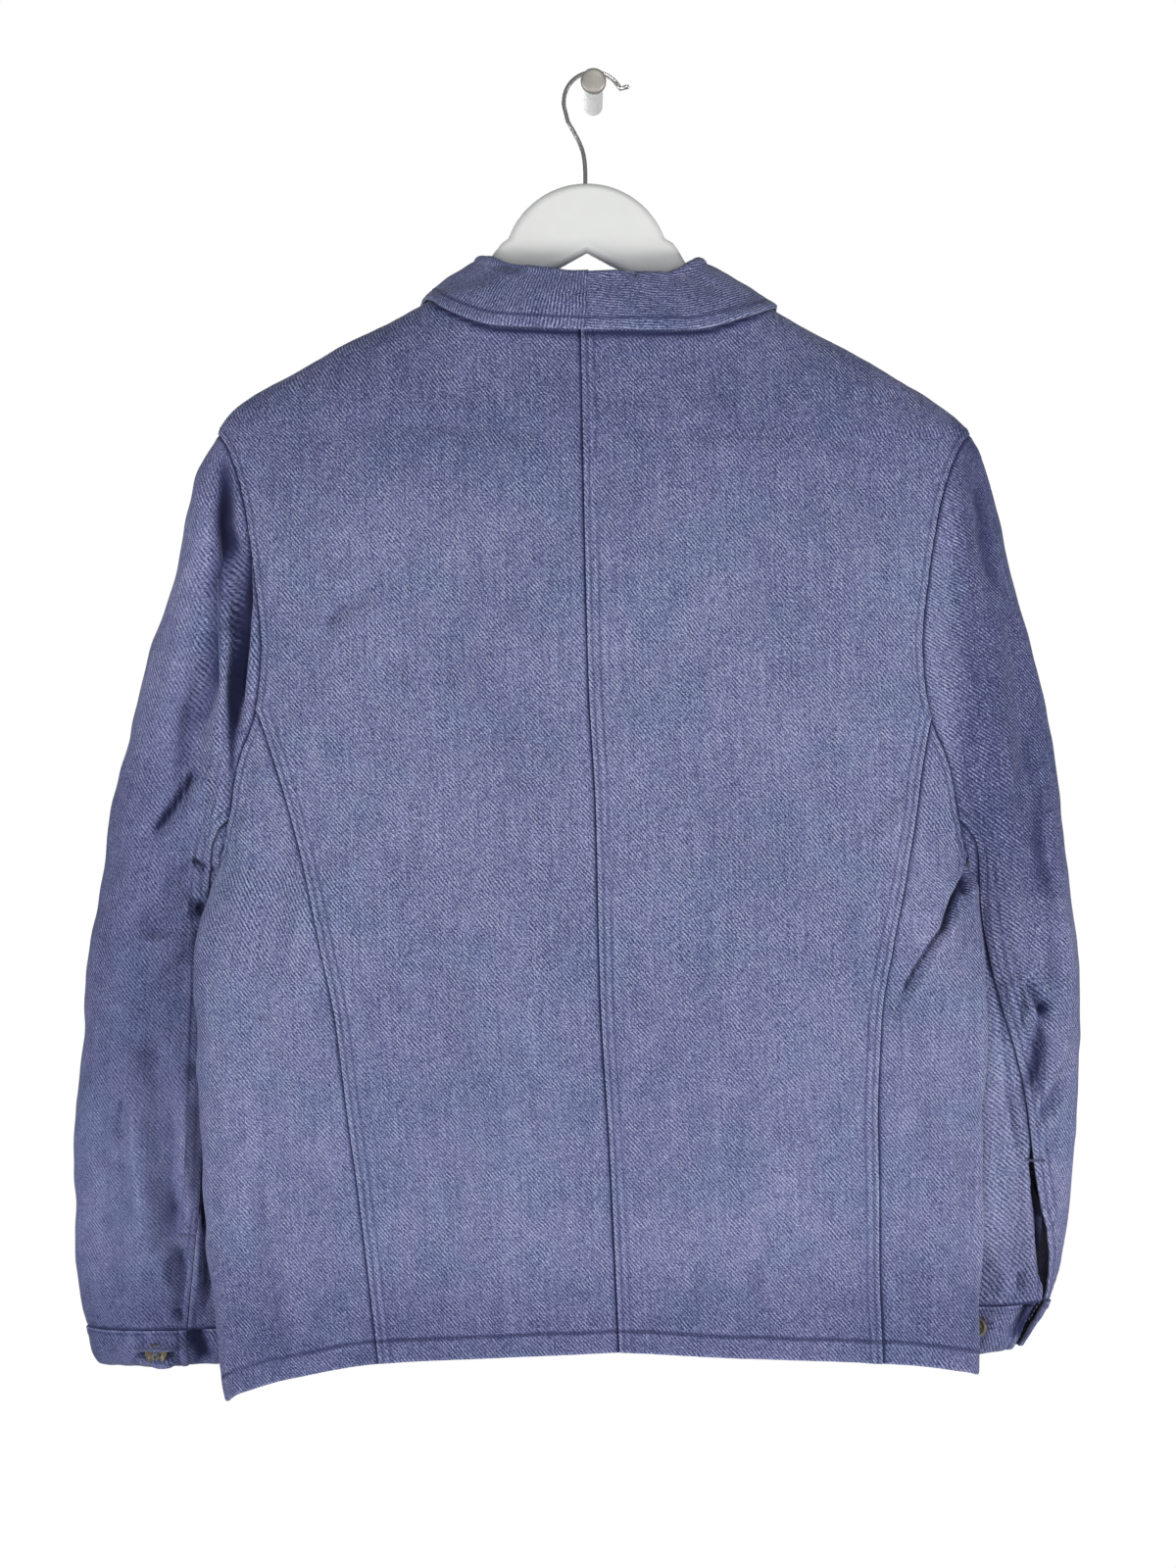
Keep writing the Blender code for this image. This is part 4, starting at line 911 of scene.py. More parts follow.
# ---------------------------------------------------------------- fine nets
STEP = 3.0  # the fine meshes' spacing, and FINE near a sewn edge
FINE = np.array([0, 0.7, 1.5, 2.5, 3.6, 5, 6.6, 8.3, 10.2, 12.3, 14.4, 16.8, 19.6])
FINE_SHARE = 0.42  # of a width that the fine steps at one end may take up
HOLE_STEPS = np.linspace(0, SIDE_SEAM_STEP, 61)[1:]
SEAM_STEPS = np.linspace(SIDE_SEAM_STEP, ARMHOLE_STEPS, 37)[1:]
SKIRT_LENGTH = MEAN_HEM_DROP - UNDERARM_DROP
CLOSE_SKIRT, CLOSE_STEP = 110, 1.9  # below the underarm, where the sleeves press creases in
SKIRT_STEP = 3.6
LINE_STEP = 1.5  # along the lines that are sewn
SEEDS = {"back": 11, "front": 21, "sleeve": 31, "cuff": 41, "collar": 51}  # of the cloth's waves


def spread(width, first=True, last=True, step=STEP):
    """Shares of a width, even but for finer steps at the ends that are sewn."""
    fine = FINE[FINE < width * FINE_SHARE]
    start = fine if first else fine[:1]
    end = width - (fine if last else fine[:1])[::-1]
    between = np.linspace(start[-1], end[0], int((end[0] - start[-1]) // step) + 2)[1:-1]
    return np.concatenate([start, between, end]) / width


def level_row(turn, drop):
    """One row of a net, with every point at the same drop."""
    return turn[None, :], np.full((1, len(turn)), drop)


def stacked(parts):
    """A net from its parts, from the top down."""
    return [np.vstack([part[k] for part in parts]) for k in (0, 1)]


def skirt(turn_of_drop):
    """The rows from the underarm to the hem."""
    loose = SKIRT_LENGTH - CLOSE_SKIRT
    share = np.concatenate([
        np.arange(0, CLOSE_SKIRT, CLOSE_STEP) / SKIRT_LENGTH,
        (CLOSE_SKIRT + loose * spread(loose, first=False, step=SKIRT_STEP)) / SKIRT_LENGTH,
    ])
    drop = UNDERARM_DROP + share * SKIRT_LENGTH
    turn = np.array([turn_of_drop(d) for d in drop])[1:]
    return turn, UNDERARM_DROP + share[1:, None] * (hem_drop(turn) - UNDERARM_DROP)


def shoulder(side, across, centre_turn, around):
    """The rows above the armhole, from the neck seam and the shoulder seam to the shoulder's end."""
    rows = spread(SHOULDER_DROP - NECK_DROP, last=False)
    top = np.array(neckline(side, around))
    ends = (top[1][-1], SHOULDER_DROP)
    bottom = np.array([side * 0.5 + (centre_turn - side * 0.5) * across, np.full(len(across), SHOULDER_DROP)])
    seam = np.array([np.full(len(rows), side * 0.5), NECK_DROP + rows * (SHOULDER_DROP - NECK_DROP)])
    centre = np.array([np.full(len(rows), centre_turn), ends[0] + rows * (ends[1] - ends[0])])
    down, along = rows[:, None], across[None, :]
    return [
        (1 - down) * top[k] + down * bottom[k]
        + (1 - along) * seam[k][:, None] + along * centre[k][:, None]
        - (1 - down) * ((1 - along) * top[k][0] + along * top[k][-1])
        - down * ((1 - along) * bottom[k][0] + along * bottom[k][-1])
        for k in (0, 1)
    ]


# ---------------------------------------------------------------- the body's panels
BACK_WIDTH, FRONT_WIDTH, STRIP_WIDTH = 215, 262, 85  # of the nets; the strip is behind the underarm
FRONT_STEP, STRIP_STEP = 4.8, 1.9
SMALL_TURN_AND_DROP = (0.002, 0.5)  # for slopes
CENTRE_SEAM = (139.0, 846)  # drops of its ends
SIDE_SEAM_HEAD = {"back": 185.9, "front": 186.5}  # below the shoulder's end
HEM_HALF_WIDTH = 252  # of the front
FRONT_EDGE = (215.0, 858)  # drops of its ends
GRAIN_ROW = 20.0  # between the drops at which the way round the body is measured
LEAF_EDGE_END = 84  # degrees round the neck that the collar's leaf lies on the back
LEAF_SHADE = 1.5  # how far below its edge the line of its painted shadow runs


def side_seam(side, panel):
    """The line of a back seam, as a turn and a drop at each point."""
    foot = float(hem_drop(side * seam_turn(side, np.array(MEAN_HEM_DROP)))) + 1
    drop = np.arange(SHOULDER_DROP + SIDE_SEAM_HEAD[panel], foot, LINE_STEP)
    return side * seam_turn(side, drop), drop


def shoulder_seam(side):
    """The line of a shoulder seam."""
    return np.full(60, side * 0.5), np.linspace(NECK_DROP, SHOULDER_DROP, 60)


def hem_line(first, last, count):
    """The line of the hem between two turns."""
    turn = np.linspace(first, last, count)
    return turn, hem_drop(turn)


def under_collar(side):
    """The line on a back just below the edge of the collar's leaf, along which the leaf's shadow is painted.
    """
    around = np.linspace(0, LEAF_EDGE_END, 90)
    drop = read(COLLAR[side], "edge_drop", around) + LEAF_SHADE
    centre = read(CENTRE_BACK, "x", drop)
    end = read(BODY, SIDES[side], drop)
    share = np.abs((read(COLLAR[side], "edge_x", around) - centre) / (end - centre))
    return side * np.arcsin(np.clip(share, 0, 1)) / np.pi, drop


def arc_grain(start):
    """Places on the cloth of the body: the distance round from a start, and the drop."""
    turns = np.linspace(-1.1, 1.1, 441)
    drops = np.arange(100, 901, GRAIN_ROW)
    rows = body_point(turns[None, :], drops[:, None])
    lengths = np.cumsum(np.linalg.norm(np.diff(rows, axis=1), axis=-1), axis=1)
    lengths = np.hstack([np.zeros((len(drops), 1)), lengths])
    lengths -= lengths[:, [int(np.argmin(abs(turns - start)))]]

    def grain(turn, drop):
        i = np.clip((turn - turns[0]) / (turns[1] - turns[0]), 0, len(turns) - 1.001)
        j = np.clip((drop - drops[0]) / GRAIN_ROW, 0, len(drops) - 1.001)
        i0, j0 = i.astype(int), j.astype(int)
        fi, fj = i - i0, j - j0
        above = lengths[j0, i0] * (1 - fi) + lengths[j0, i0 + 1] * fi
        below = lengths[j0 + 1, i0] * (1 - fi) + lengths[j0 + 1, i0 + 1] * fi
        return above * (1 - fj) + below * fj, drop

    return grain


def back_panel(side):
    """A back: its panel and its fine net."""
    across = spread(BACK_WIDTH)
    parts = [shoulder(side, across, 0.0, 90 - 90 * across)]
    for step in np.concatenate([HOLE_STEPS, SEAM_STEPS]):
        edge, level = armhole(side, step)
        if step > SIDE_SEAM_STEP:
            edge = side * seam_turn(side, level)
        parts.append(level_row(edge * (1 - across), level))
    parts.append(skirt(lambda drop: side * seam_turn(side, drop) * (1 - across)))

    centre_drops = np.arange(*CENTRE_SEAM, LINE_STEP)
    edges = [
        ("felled" if side > 0 else "under", 0 * centre_drops, centre_drops),
        ("felled", *side_seam(side, "back")),
        ("felled_narrow", *armhole(side, np.linspace(0, SIDE_SEAM_STEP, 120))),
        ("plain", *shoulder_seam(side)),
        ("hem", *hem_line(0, side * float(seam_turn(side, MEAN_HEM_DROP)), 160)),
        ("shade", *under_collar(side)),
    ]
    panel = Panel(
        body_point, SMALL_TURN_AND_DROP, 1, BODY_CREASES, SEEDS["back"] + side, arc_grain(0.0), edges
    )
    return panel, [stacked(parts)]


def lapped(side, turn):
    """How far the front that buttons over stands out from the other one."""
    if side > 0:
        return np.zeros_like(turn)
    return LAP_HEIGHT * np.clip((np.abs(turn) - LAP_START) / LAP_RUN, 0, 1)


def lapped_point(side, turn, drop):
    """A point outside a front."""
    point = body_point(turn, drop)
    return point if side > 0 else point + body_normal(turn, drop) * lapped(side, turn)[..., None]


def past_centre(side, reach, half_width):
    """Turn of a place on the button stand, at a distance past the centre front."""
    return side + side * reach / (np.pi * half_width)


def front_net(side):
    """The net of all of a front but the strip behind the underarm."""
    across = spread(FRONT_WIDTH, step=FRONT_STEP)
    parts = [shoulder(side, across, side * 1.0, 90 + 90 * across)]
    for step in np.concatenate([HOLE_STEPS, SEAM_STEPS]):
        edge, level = armhole(side, 2 * ARMHOLE_STEPS - step)
        parts.append(level_row(edge + (side - edge) * across, level))
    parts.append(skirt(lambda drop: side * (0.5 + 0.5 * across)))
    turn, drop = stacked(parts)
    last = drop[:, -1:]
    reaches = BUTTON_STAND - FINE[::-1][FINE[::-1] < BUTTON_STAND - 1]
    stand = [past_centre(side, reach, read(BODY, "right", last)) for reach in reaches]
    return [np.hstack([turn, *stand]), np.hstack([drop] + [last] * len(stand))]


def strip_net(side):
    """The net of a front's strip behind the underarm, from the back seam to the side."""
    across = spread(STRIP_WIDTH, last=False, step=STRIP_STEP)
    parts = []
    for step in np.concatenate([[SIDE_SEAM_STEP], SEAM_STEPS]):
        edge, level = armhole(side, step)
        first = side * seam_turn(side, level) if step > SIDE_SEAM_STEP else edge
        parts.append(level_row(first + (edge - first) * across, level))
    parts.append(skirt(
        lambda drop: side * (seam_turn(side, drop) + (0.5 - seam_turn(side, drop)) * across)
    ))
    return stacked(parts)


def front_panel(side):
    """A front: its panel and its two fine nets."""
    edge_drops = np.arange(*FRONT_EDGE, LINE_STEP)
    hem_start = side * float(seam_turn(side, MEAN_HEM_DROP))
    edges = [
        ("under", *side_seam(side, "front")),
        ("felled_narrow", *armhole(side, np.linspace(SIDE_SEAM_STEP, 2 * ARMHOLE_STEPS, 260))),
        ("plain", *shoulder_seam(side)),
        ("hem", *hem_line(hem_start, past_centre(side, BUTTON_STAND, HEM_HALF_WIDTH), 260)),
        ("edge", past_centre(side, BUTTON_STAND, read(BODY, "right", edge_drops)), edge_drops),
    ]
    panel = Panel(
        lambda turn, drop: lapped_point(side, turn, drop),
        SMALL_TURN_AND_DROP, 1, BODY_CREASES, SEEDS["front"] + side,
        arc_grain(side * 0.5), edges,
    )
    return panel, [front_net(side), strip_net(side)]


# ---------------------------------------------------------------- the sleeves' and cuffs' panels
SLEEVE_LENGTH, UPPER_WIDTH, UNDER_WIDTH = 610, 200, 88  # of the nets
SLEEVE_LEAN = 10  # of its grain from upright, in degrees
SLEEVE_WIDTH = 112.0  # seen from behind
SMALL_TURN_AND_ROW = (0.004, 0.04)  # for slopes
CUFF_LENGTH, CUFF_HEIGHT = 290, 28  # of the net
CUFF_GIRTH = 283
CUFF_ROW = 9.5  # height of one section
CUFF_GRAIN_START = 40  # so that its flecks aren't the sleeve's


def sleeve_turns(side, name, share, rows):
    """Turns across one piece of a sleeve at shares of its width, and where its cloth starts."""
    sections = numbered(SLEEVES[side])
    if name == "upper":
        first, last = FORE_SEAM_STEP - 2 * ARMHOLE_STEPS, HIND_SEAM_STEP
        start = read(FORE_SEAM, "turn", rows) - 1
        end = read(sections, "seam", rows) - vent_turns(side, rows)
    else:
        first, last = HIND_SEAM_STEP, FORE_SEAM_STEP
        start = read(sections, "seam", rows) + vent_turns(side, rows) * VENT_UNDER_SHARE
        end = read(FORE_SEAM, "turn", rows)
    steps = first + (last - first) * share
    turn = start + (end - start) * share
    blend = np.clip(rows / 2, 0, 1)
    return turn * blend + steps / (2 * ARMHOLE_STEPS) * (1 - blend)


def sleeve_grain(side, upper, surface):
    """Places on the cloth of a sleeve: the distance round it, and the distance down its leaning grain."""
    outer = {"drop": SLEEVES[side]["outer_drop"], "x": SLEEVES[side]["outer_x"]}
    lean = math.radians(SLEEVE_LEAN)

    def grain(turn, row):
        point = surface(turn, row)
        x, drop = point[..., 0], -point[..., 2]
        width = np.abs(x - read(outer, "x", drop)) / SLEEVE_WIDTH
        angle = np.arccos(1 - 2 * np.clip(width, 0, 0.9)) + 2.2 * np.maximum(width - 0.9, 0)
        behind = np.where(np.sin(2 * np.pi * turn) > 0, 1, -1)
        round_it = behind * (angle if upper else angle - np.pi) * SLEEVE_GIRTH / (2 * np.pi)
        return -side * round_it, side * x * math.sin(lean) + drop * math.cos(lean)

    return grain


def sleeve_panel(side, name):
    """One piece of a sleeve: its panel and its fine net."""
    upper = name == "upper"
    last_row = len(SLEEVES[side]["seam"]) - 1
    rows = spread(SLEEVE_LENGTH, step=2.6) * last_row
    across = spread(UPPER_WIDTH if upper else UNDER_WIDTH, step=2.5)
    row, share = np.meshgrid(rows, across, indexing="ij")

    def surface(turn, row):
        return sleeve_point(side, turn, np.clip(row, 0, last_row))

    def line(share, row):
        share, row = np.broadcast_arrays(share, row)
        return sleeve_turns(side, name, share, row), row

    hind, fore = (1.0, 0.0) if upper else (0.0, 1.0)
    shares = np.linspace(0, 1, 160)
    edges = [
        ("felled_wide" if upper else "under", *line(hind, np.linspace(0, VENT_START, 260))),
        ("vent", *line(hind, np.linspace(VENT_START, last_row, 60))),
        ("felled" if upper else "under", *line(fore, np.linspace(0, last_row, 320))),
        ("under", *line(shares, 0.0)),
        ("under", *line(shares, float(last_row))),
    ]
    creases = SLEEVE_CREASES[side] if upper else SLEEVE_CREASES[side] | {"vent": VENT_CREASES[side]}
    panel = Panel(
        surface, SMALL_TURN_AND_ROW, -side, creases, SEEDS["sleeve"] + side + 3 * upper,
        sleeve_grain(side, upper, surface), edges,
    )
    return panel, [[sleeve_turns(side, name, share, row), row]]


def cuff_panel(side):
    """A cuff band: its panel and its fine net. Past a whole turn it runs in behind its own start."""
    turns = cuff_turns(side)
    first, last = turns[0], turns[-1]
    last_row = len(CUFFS[side]["outer_x"]) - 1
    row, turn = np.meshgrid(
        spread(CUFF_HEIGHT, step=1.4) * last_row,
        first + (last - first) * spread(CUFF_LENGTH, step=3.4),
        indexing="ij",
    )
    line, ends = np.linspace(first, last, 300), np.linspace(0, last_row, 40)
    edges = [
        ("band", line, 0 * line),
        ("fold", line, last_row + 0 * line),
        ("edge", first + 0 * ends, ends),
        ("edge", last + 0 * ends, ends),
    ]
    panel = Panel(
        lambda turn, row: cuff_point(side, turn, np.clip(row, 0, last_row)),
        SMALL_TURN_AND_ROW, -side, CUFF_CREASES[side], SEEDS["cuff"] + side,
        lambda turn, row: (-side * turn * CUFF_GIRTH, row * CUFF_ROW + CUFF_GRAIN_START), edges,
    )
    return panel, [[turn, row]]


# ---------------------------------------------------------------- the collar's panels
COLLAR_LAP = -0.6  # where each half starts, a little past the centre, in degrees
TWILL_ANGLE = 50  # of the twill lines from the weft, in degrees
COLLAR_TWILL = {-1: 90, 1: 8}  # the way the collar's twill lines run, in degrees below level
SMALL_ANGLE_AND_V = (0.4, 0.01)  # for slopes
COLLAR_LENGTH, STAND_HEIGHT, ROLL_LENGTH, LEAF_HEIGHT = 230, 28, 13, 40  # of the nets
COLLAR_PER_DEGREE = 1.4  # of cloth
COLLAR_GROUND_DROP = 290  # how far down the body the collar could touch it


def collar_line(side, line, around):
    """Points of the collar's roll line, or of its leaf's edge."""
    x, y, drop = (read(COLLAR[side], f"{line}_{way}", around) for way in ("x", "y", "drop"))
    return np.stack([x, y, -drop], axis=-1)


def stand_foot(side, around, outward):
    """The foot of the stand's outside, inside the neck seam."""
    turn, drop = neckline(side, around)
    facing = body_normal(turn, drop)
    upwards = np.array([0, 0, STAND_LEAN]) * np.sin(np.radians(around))[..., None]
    stand_faces = unit(outward + upwards)
    middle_way = unit(facing + stand_faces)
    seam = body_point(turn, drop) + facing * lapped(side, turn)[..., None]
    return seam - middle_way * 2 / np.clip(np.sum(middle_way * stand_faces, -1, keepdims=True), 0.8, 1)


def leaf_lift(side):
    """A function that lifts the points of the leaf clear of the body below them."""
    turn, drop = np.meshgrid(side * np.linspace(0, 1, 161), np.linspace(NECK_DROP, COLLAR_GROUND_DROP, 101))
    ground = body_point(turn, drop).reshape(-1, 3)
    facing = body_normal(turn, drop).reshape(-1, 3)
    tree = KDTree(len(ground))
    for i, point in enumerate(ground):
        tree.insert(point, i)
    tree.balance()

    def lifted(point, v):
        flat, v = point.reshape(-1, 3), v.ravel()
        for i in np.where(v > 2)[0]:
            _, nearest, _ = tree.find(flat[i])
            height = np.dot(flat[i] - ground[nearest], facing[nearest])
            lift = np.logaddexp(0, COLLAR_CLEARANCE - height) * smooth((v[i] - 2) * 4)
            flat[i] = flat[i] + facing[nearest] * lift
        return flat.reshape(point.shape)

    return lifted


def collar_grain(side):
    """Places on the cloth of a half collar, turned so that its twill lines run as in the photo."""
    tilt = math.radians(TWILL_ANGLE - COLLAR_TWILL[side])

    def grain(around, v):
        u = side * around * COLLAR_PER_DEGREE
        held = np.clip(around, 0, 180)
        leaf = np.linalg.norm(collar_line(side, "edge", held) - collar_line(side, "roll", held), axis=-1)
        on_roll = STAND_HEIGHT + (v - 1) * ROLL_LENGTH
        on_leaf = STAND_HEIGHT + ROLL_LENGTH + (v - 2) * leaf
        down = np.where(v < 1, v * STAND_HEIGHT, np.where(v < 2, on_roll, on_leaf))
        return u * math.cos(tilt) - down * math.sin(tilt), u * math.sin(tilt) + down * math.cos(tilt)

    return grain


def collar_panel(side):
    """Half of the collar: its panel and its fine net. v runs up the stand, over the roll, down the leaf."""
    lifted = leaf_lift(side)
    rise = np.array([0, 0, 1.0])

    def surface(around, v):
        signed, v = np.broadcast_arrays(np.asarray(around, float), np.asarray(v, float))
        around = np.clip(np.abs(signed), 0, 180)
        angle = np.radians(around)
        outward = np.stack([side * np.sin(angle), -np.cos(angle), 0 * angle], axis=-1)
        foot = stand_foot(side, around, outward)
        middle = collar_line(side, "roll", around) - rise * COLLAR_ROLL
        s = np.clip(v, 0, 1)[..., None]
        stand = foot + (middle - outward * COLLAR_ROLL - foot) * s
        bend = (np.pi * (1 - np.clip(v - 1, 0, 1)))[..., None]
        rolled = middle + COLLAR_ROLL * (outward * np.cos(bend) + rise * np.sin(bend))
        s = np.clip(v - 2, 0, 1.02)[..., None]
        start = middle + outward * COLLAR_ROLL
        edge = collar_line(side, "edge", around)
        leaf = start + (edge - start) * s + outward * COLLAR_BULGE * 4 * s * (1 - s)
        point = np.where(v[..., None] < 1, stand, np.where(v[..., None] < 2, rolled, leaf))
        point = lifted(point, v)
        past = signed < 0
        if past.any():
            centre = surface(0 * signed, v)[..., 0]
            point[..., 0] = np.where(past, 2 * centre - point[..., 0], point[..., 0])
        return point

    rows = np.concatenate([
        spread(STAND_HEIGHT, last=False, step=3.4),
        1 + np.linspace(0, 1, 13)[1:],
        2 + spread(LEAF_HEIGHT, first=False, step=2.6)[1:],
    ])
    across = spread(COLLAR_LENGTH, step=2.6)
    v, around = np.meshgrid(rows, COLLAR_LAP + (180 - COLLAR_LAP) * across, indexing="ij")
    line, ends = np.linspace(0, 180, 240), np.linspace(0, 3, 90)
    edges = [
        ("plain", line, 0 * line),
        ("leaf", line, 3 + 0 * line),
        ("leaf", 180 + 0 * ends, ends),
    ]
    panel = Panel(
        surface, SMALL_ANGLE_AND_V, side, COLLAR_CREASES[side], SEEDS["collar"] + side,
        collar_grain(side), edges,
    )
    return panel, [[around, v]]


# ---------------------------------------------------------------- shells of cloth
def placed(name, data):
    """A new object in the scene."""
    obj = bpy.data.objects.new(name, data)
    bpy.context.scene.collection.objects.link(obj)
    return obj


def hand_over(obj, node=None):
    """Hands a piece to the frame: puts it on the root body, and hides the solid that it stands for."""
    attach(obj, "root")
    if node:
        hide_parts(node)


def set_attribute(mesh, name, values):
    """A value or a vector at each point of a mesh, for its material or its tree to read."""
    kind, field = ("FLOAT_VECTOR", "vector") if values.ndim == 2 else ("FLOAT", "value")
    layer = mesh.attributes.new(name, kind, "POINT")
    layer.data.foreach_set(field, values.astype(np.float32).ravel())


def net_faces(nets):
    """The four-cornered faces of all nets, whose points are numbered on from net to net."""
    faces, start = [], 0
    for net in nets:
        ids = start + np.arange(net[0].size).reshape(net[0].shape)
        faces.append(np.stack([ids[:-1, :-1], ids[:-1, 1:], ids[1:, 1:], ids[1:, :-1]], -1).reshape(-1, 4))
        start += net[0].size
    return np.concatenate(faces)


def shell_rings(faces, count):
    """Faces of the outside, of the lining behind it, and of the rim that joins their edges."""
    rings = []
    for ring in faces.tolist():
        ring = [v for k, v in enumerate(ring) if v != ring[k - 1]]
        if len(set(ring)) == len(ring) > 2:
            rings.append(ring)
    directed = {(ring[k - 1], ring[k]) for ring in rings for k in range(len(ring))}
    rim = [(b, a, a + count, b + count) for a, b in sorted(directed) if (b, a) not in directed]
    lining = [[v + count for v in reversed(ring)] for ring in rings]
    return rings + lining + rim


def add_shell(name, panel, nets):
    """A closed shell of denim on a panel's nets, with its grain, its wear and painted highlight, and its dye
    and painted shade as attributes.
    """
    found = [panel.at(*net) for net in nets]
    cloth = {key: np.concatenate([f[key].reshape(-1, *f[key].shape[2:]) for f in found]) for key in found[0]}
    _, first, same = np.unique(
        np.round(cloth["points"] * 50).astype(int), axis=0, return_index=True, return_inverse=True
    )
    faces = same.ravel()[net_faces(nets)]
    cloth = {key: values[first] for key, values in cloth.items()}
    outer, normals, grain = cloth["points"], cloth["normals"], cloth["grain"]
    inner = outer - normals * cloth["thickness"][:, None]
    corners = outer[faces]
    facing = np.cross(corners[:, 2] - corners[:, 0], corners[:, 3] - corners[:, 1])
    if np.sum(facing * normals[faces[:, 0]]) < 0:
        faces = faces[:, ::-1]
    mesh = bpy.data.meshes.new(name)
    mesh.from_pydata(np.concatenate([outer, inner]) * MM, [], shell_rings(faces, len(outer)))
    mesh.validate()
    mesh.shade_smooth()
    mesh.set_sharp_from_angle(angle=math.radians(55))
    both = np.concatenate([grain, grain * [-1, 1]])
    set_attribute(mesh, "grain", np.hstack([both, np.zeros((len(both), 1))]))
    set_attribute(mesh, "wear_and_highlight", np.concatenate([cloth["wear_and_highlight"], cloth["wear_and_highlight"] * 0.5]))
    set_attribute(mesh, "dye_and_shade", np.tile(cloth["dye_and_shade"], 2))
    set_attribute(mesh, "inside", np.repeat([0.0, 1.0], len(outer)))
    mesh.materials.append(DENIM)
    return placed(name, mesh)


# ---------------------------------------------------------------- nodes
def fill(tree, socket, value):
    """Gives a socket of a node a value, or a link from another socket."""
    value = value.socket if isinstance(value, Signal) else value
    if isinstance(value, bpy.types.NodeSocket):
        tree.links.new(value, socket)
    else:
        socket.default_value = value


def add_node(tree, kind, settings=None, values=None):
    """Outputs of a new node, made with its settings and the values or links of its sockets."""
    made = tree.nodes.new(kind)
    for name, value in (settings or {}).items():
        setattr(made, name, value)
    for key, value in (values or {}).items():
        fill(tree, made.inputs[key], value)
    return made.outputs


class Signal:
    """A socket of a material's tree. Sums on signals add the Math nodes for them."""

    def __init__(self, look, socket):
        self.look, self.socket = look, socket

    def math(self, operation, *others, **settings):
        values = dict(enumerate([self, *others]))
        return self.look.node("Math", {"operation": operation, **settings}, values)

    def __add__(self, other):
        return self.math("ADD", other)

    def __sub__(self, other):
        return self.math("SUBTRACT", other)

    def __rsub__(self, other):
        return self.look.node("Math", {"operation": "SUBTRACT"}, {0: other, 1: self})

    def __mul__(self, other):
        return self.math("MULTIPLY", other)

    def __truediv__(self, other):
        return self.math("DIVIDE", other)

    __radd__, __rmul__ = __add__, __mul__

    def clamped(self):
        return self.math("ADD", 0.0, use_clamp=True)

    def between(self, low, high):
        """0 up to one value and 1 from the other on, with a smooth step between."""
        return self.look.node(
            "MapRange", {"interpolation_type": "SMOOTHSTEP"}, {0: self, 1: low, 2: high, 3: 0.0, 4: 1.0}
        )


class Look:
    """A material and its Principled shader. node() adds any node and returns its output."""

    def __init__(self, name, roughness, **sockets):
        self.material = bpy.data.materials.new(name)
        self.material.use_nodes = True
        self.tree = self.material.node_tree
        self.shader = self.tree.nodes["Principled BSDF"]
        self.set("Roughness", roughness)
        for socket, value in sockets.items():
            self.set(socket.replace("_", " "), value)

    def node(self, kind, settings=None, values=None, out=0):
        return Signal(self, add_node(self.tree, "ShaderNode" + kind, settings, values)[out])

    def set(self, socket, value):
        fill(self.tree, self.shader.inputs[socket], value)

    def body(self):
        """Object coordinates, in metres from the frame's origin."""
        return self.node("TexCoord", out="Object")

    def attribute(self, name, out="Fac"):
        return self.node("Attribute", {"attribute_name": name}, out=out)

    def parts(self, vector):
        return [self.node("SeparateXYZ", values={0: vector}, out=k) for k in range(3)]

    def place(self, x, y, z=0.0):
        return self.node("CombineXYZ", values={0: x, 1: y, 2: z})

    def stretched(self, vector, scales):
        return self.node("Mapping", values={"Vector": vector, "Scale": scales})

    def noise(self, vector, scale=1.0, detail=2.0, roughness=0.5):
        values = {"Vector": vector, "Scale": scale, "Detail": detail, "Roughness": roughness}
        return self.node("TexNoise", values=values)

    def mixed(self, share, first, second):
        """A colour between two others."""
        return self.node("Mix", {"data_type": "RGBA"}, {0: share, 6: first, 7: second}, out=2)

    def tinted(self, colour, by, share=1.0):
        """A colour multiplied by another one."""
        settings = {"data_type": "RGBA", "blend_type": "MULTIPLY"}
        return self.node("Mix", settings, {0: share, 6: colour, 7: by}, out=2)

    def bump(self, height, distance, strength):
        return self.node("Bump", values={"Height": height, "Distance": distance, "Strength": strength})


def rgb(*linear):
    return (*linear, 1.0)


INDIGO = rgb(0.035, 0.04, 0.115)
FADED = rgb(0.17, 0.19, 0.36)
BARE = rgb(0.46, 0.49, 0.68)
WEFT_GREY = rgb(0.42, 0.43, 0.52)
SHADED = rgb(0.25, 0.25, 0.29)  # painted shade: what is left of a colour in the deepest folds and inside the right vent
TWILL_PERIOD = 2.0
TWILL_SLOPE = math.radians(TWILL_ANGLE)


def painted_shade_and_tone(x, height):
    """Painted shade and tone by place: how much darker the top of the jacket, the upper right sleeve and the
    outer left sleeve low down are painted, for the shade that falls there; the hem is darker, and a patch on
    the right sleeve by its vent lighter. Heights are below 0 and, like x, in metres.
    """
    yoke = height.between(-0.34, -0.2) * 0.17 - height.between(-0.2, -0.17) * 0.03
    hem = height.between(-0.76, -0.84) * 0.2
    right_arm = x.between(0.234, 0.252) * height.between(-0.62, -0.48) * 0.33
    by_the_vent = x.between(0.252, 0.262) * x.between(0.3, 0.286) * height.between(-0.6, -0.66) * 0.1
    left_arm = height.between(-0.4, -0.5) * (0.17 - height.between(-0.64, -0.72) * 0.14)
    return yoke + hem + right_arm - by_the_vent + x.between(-0.255, -0.275) * left_arm


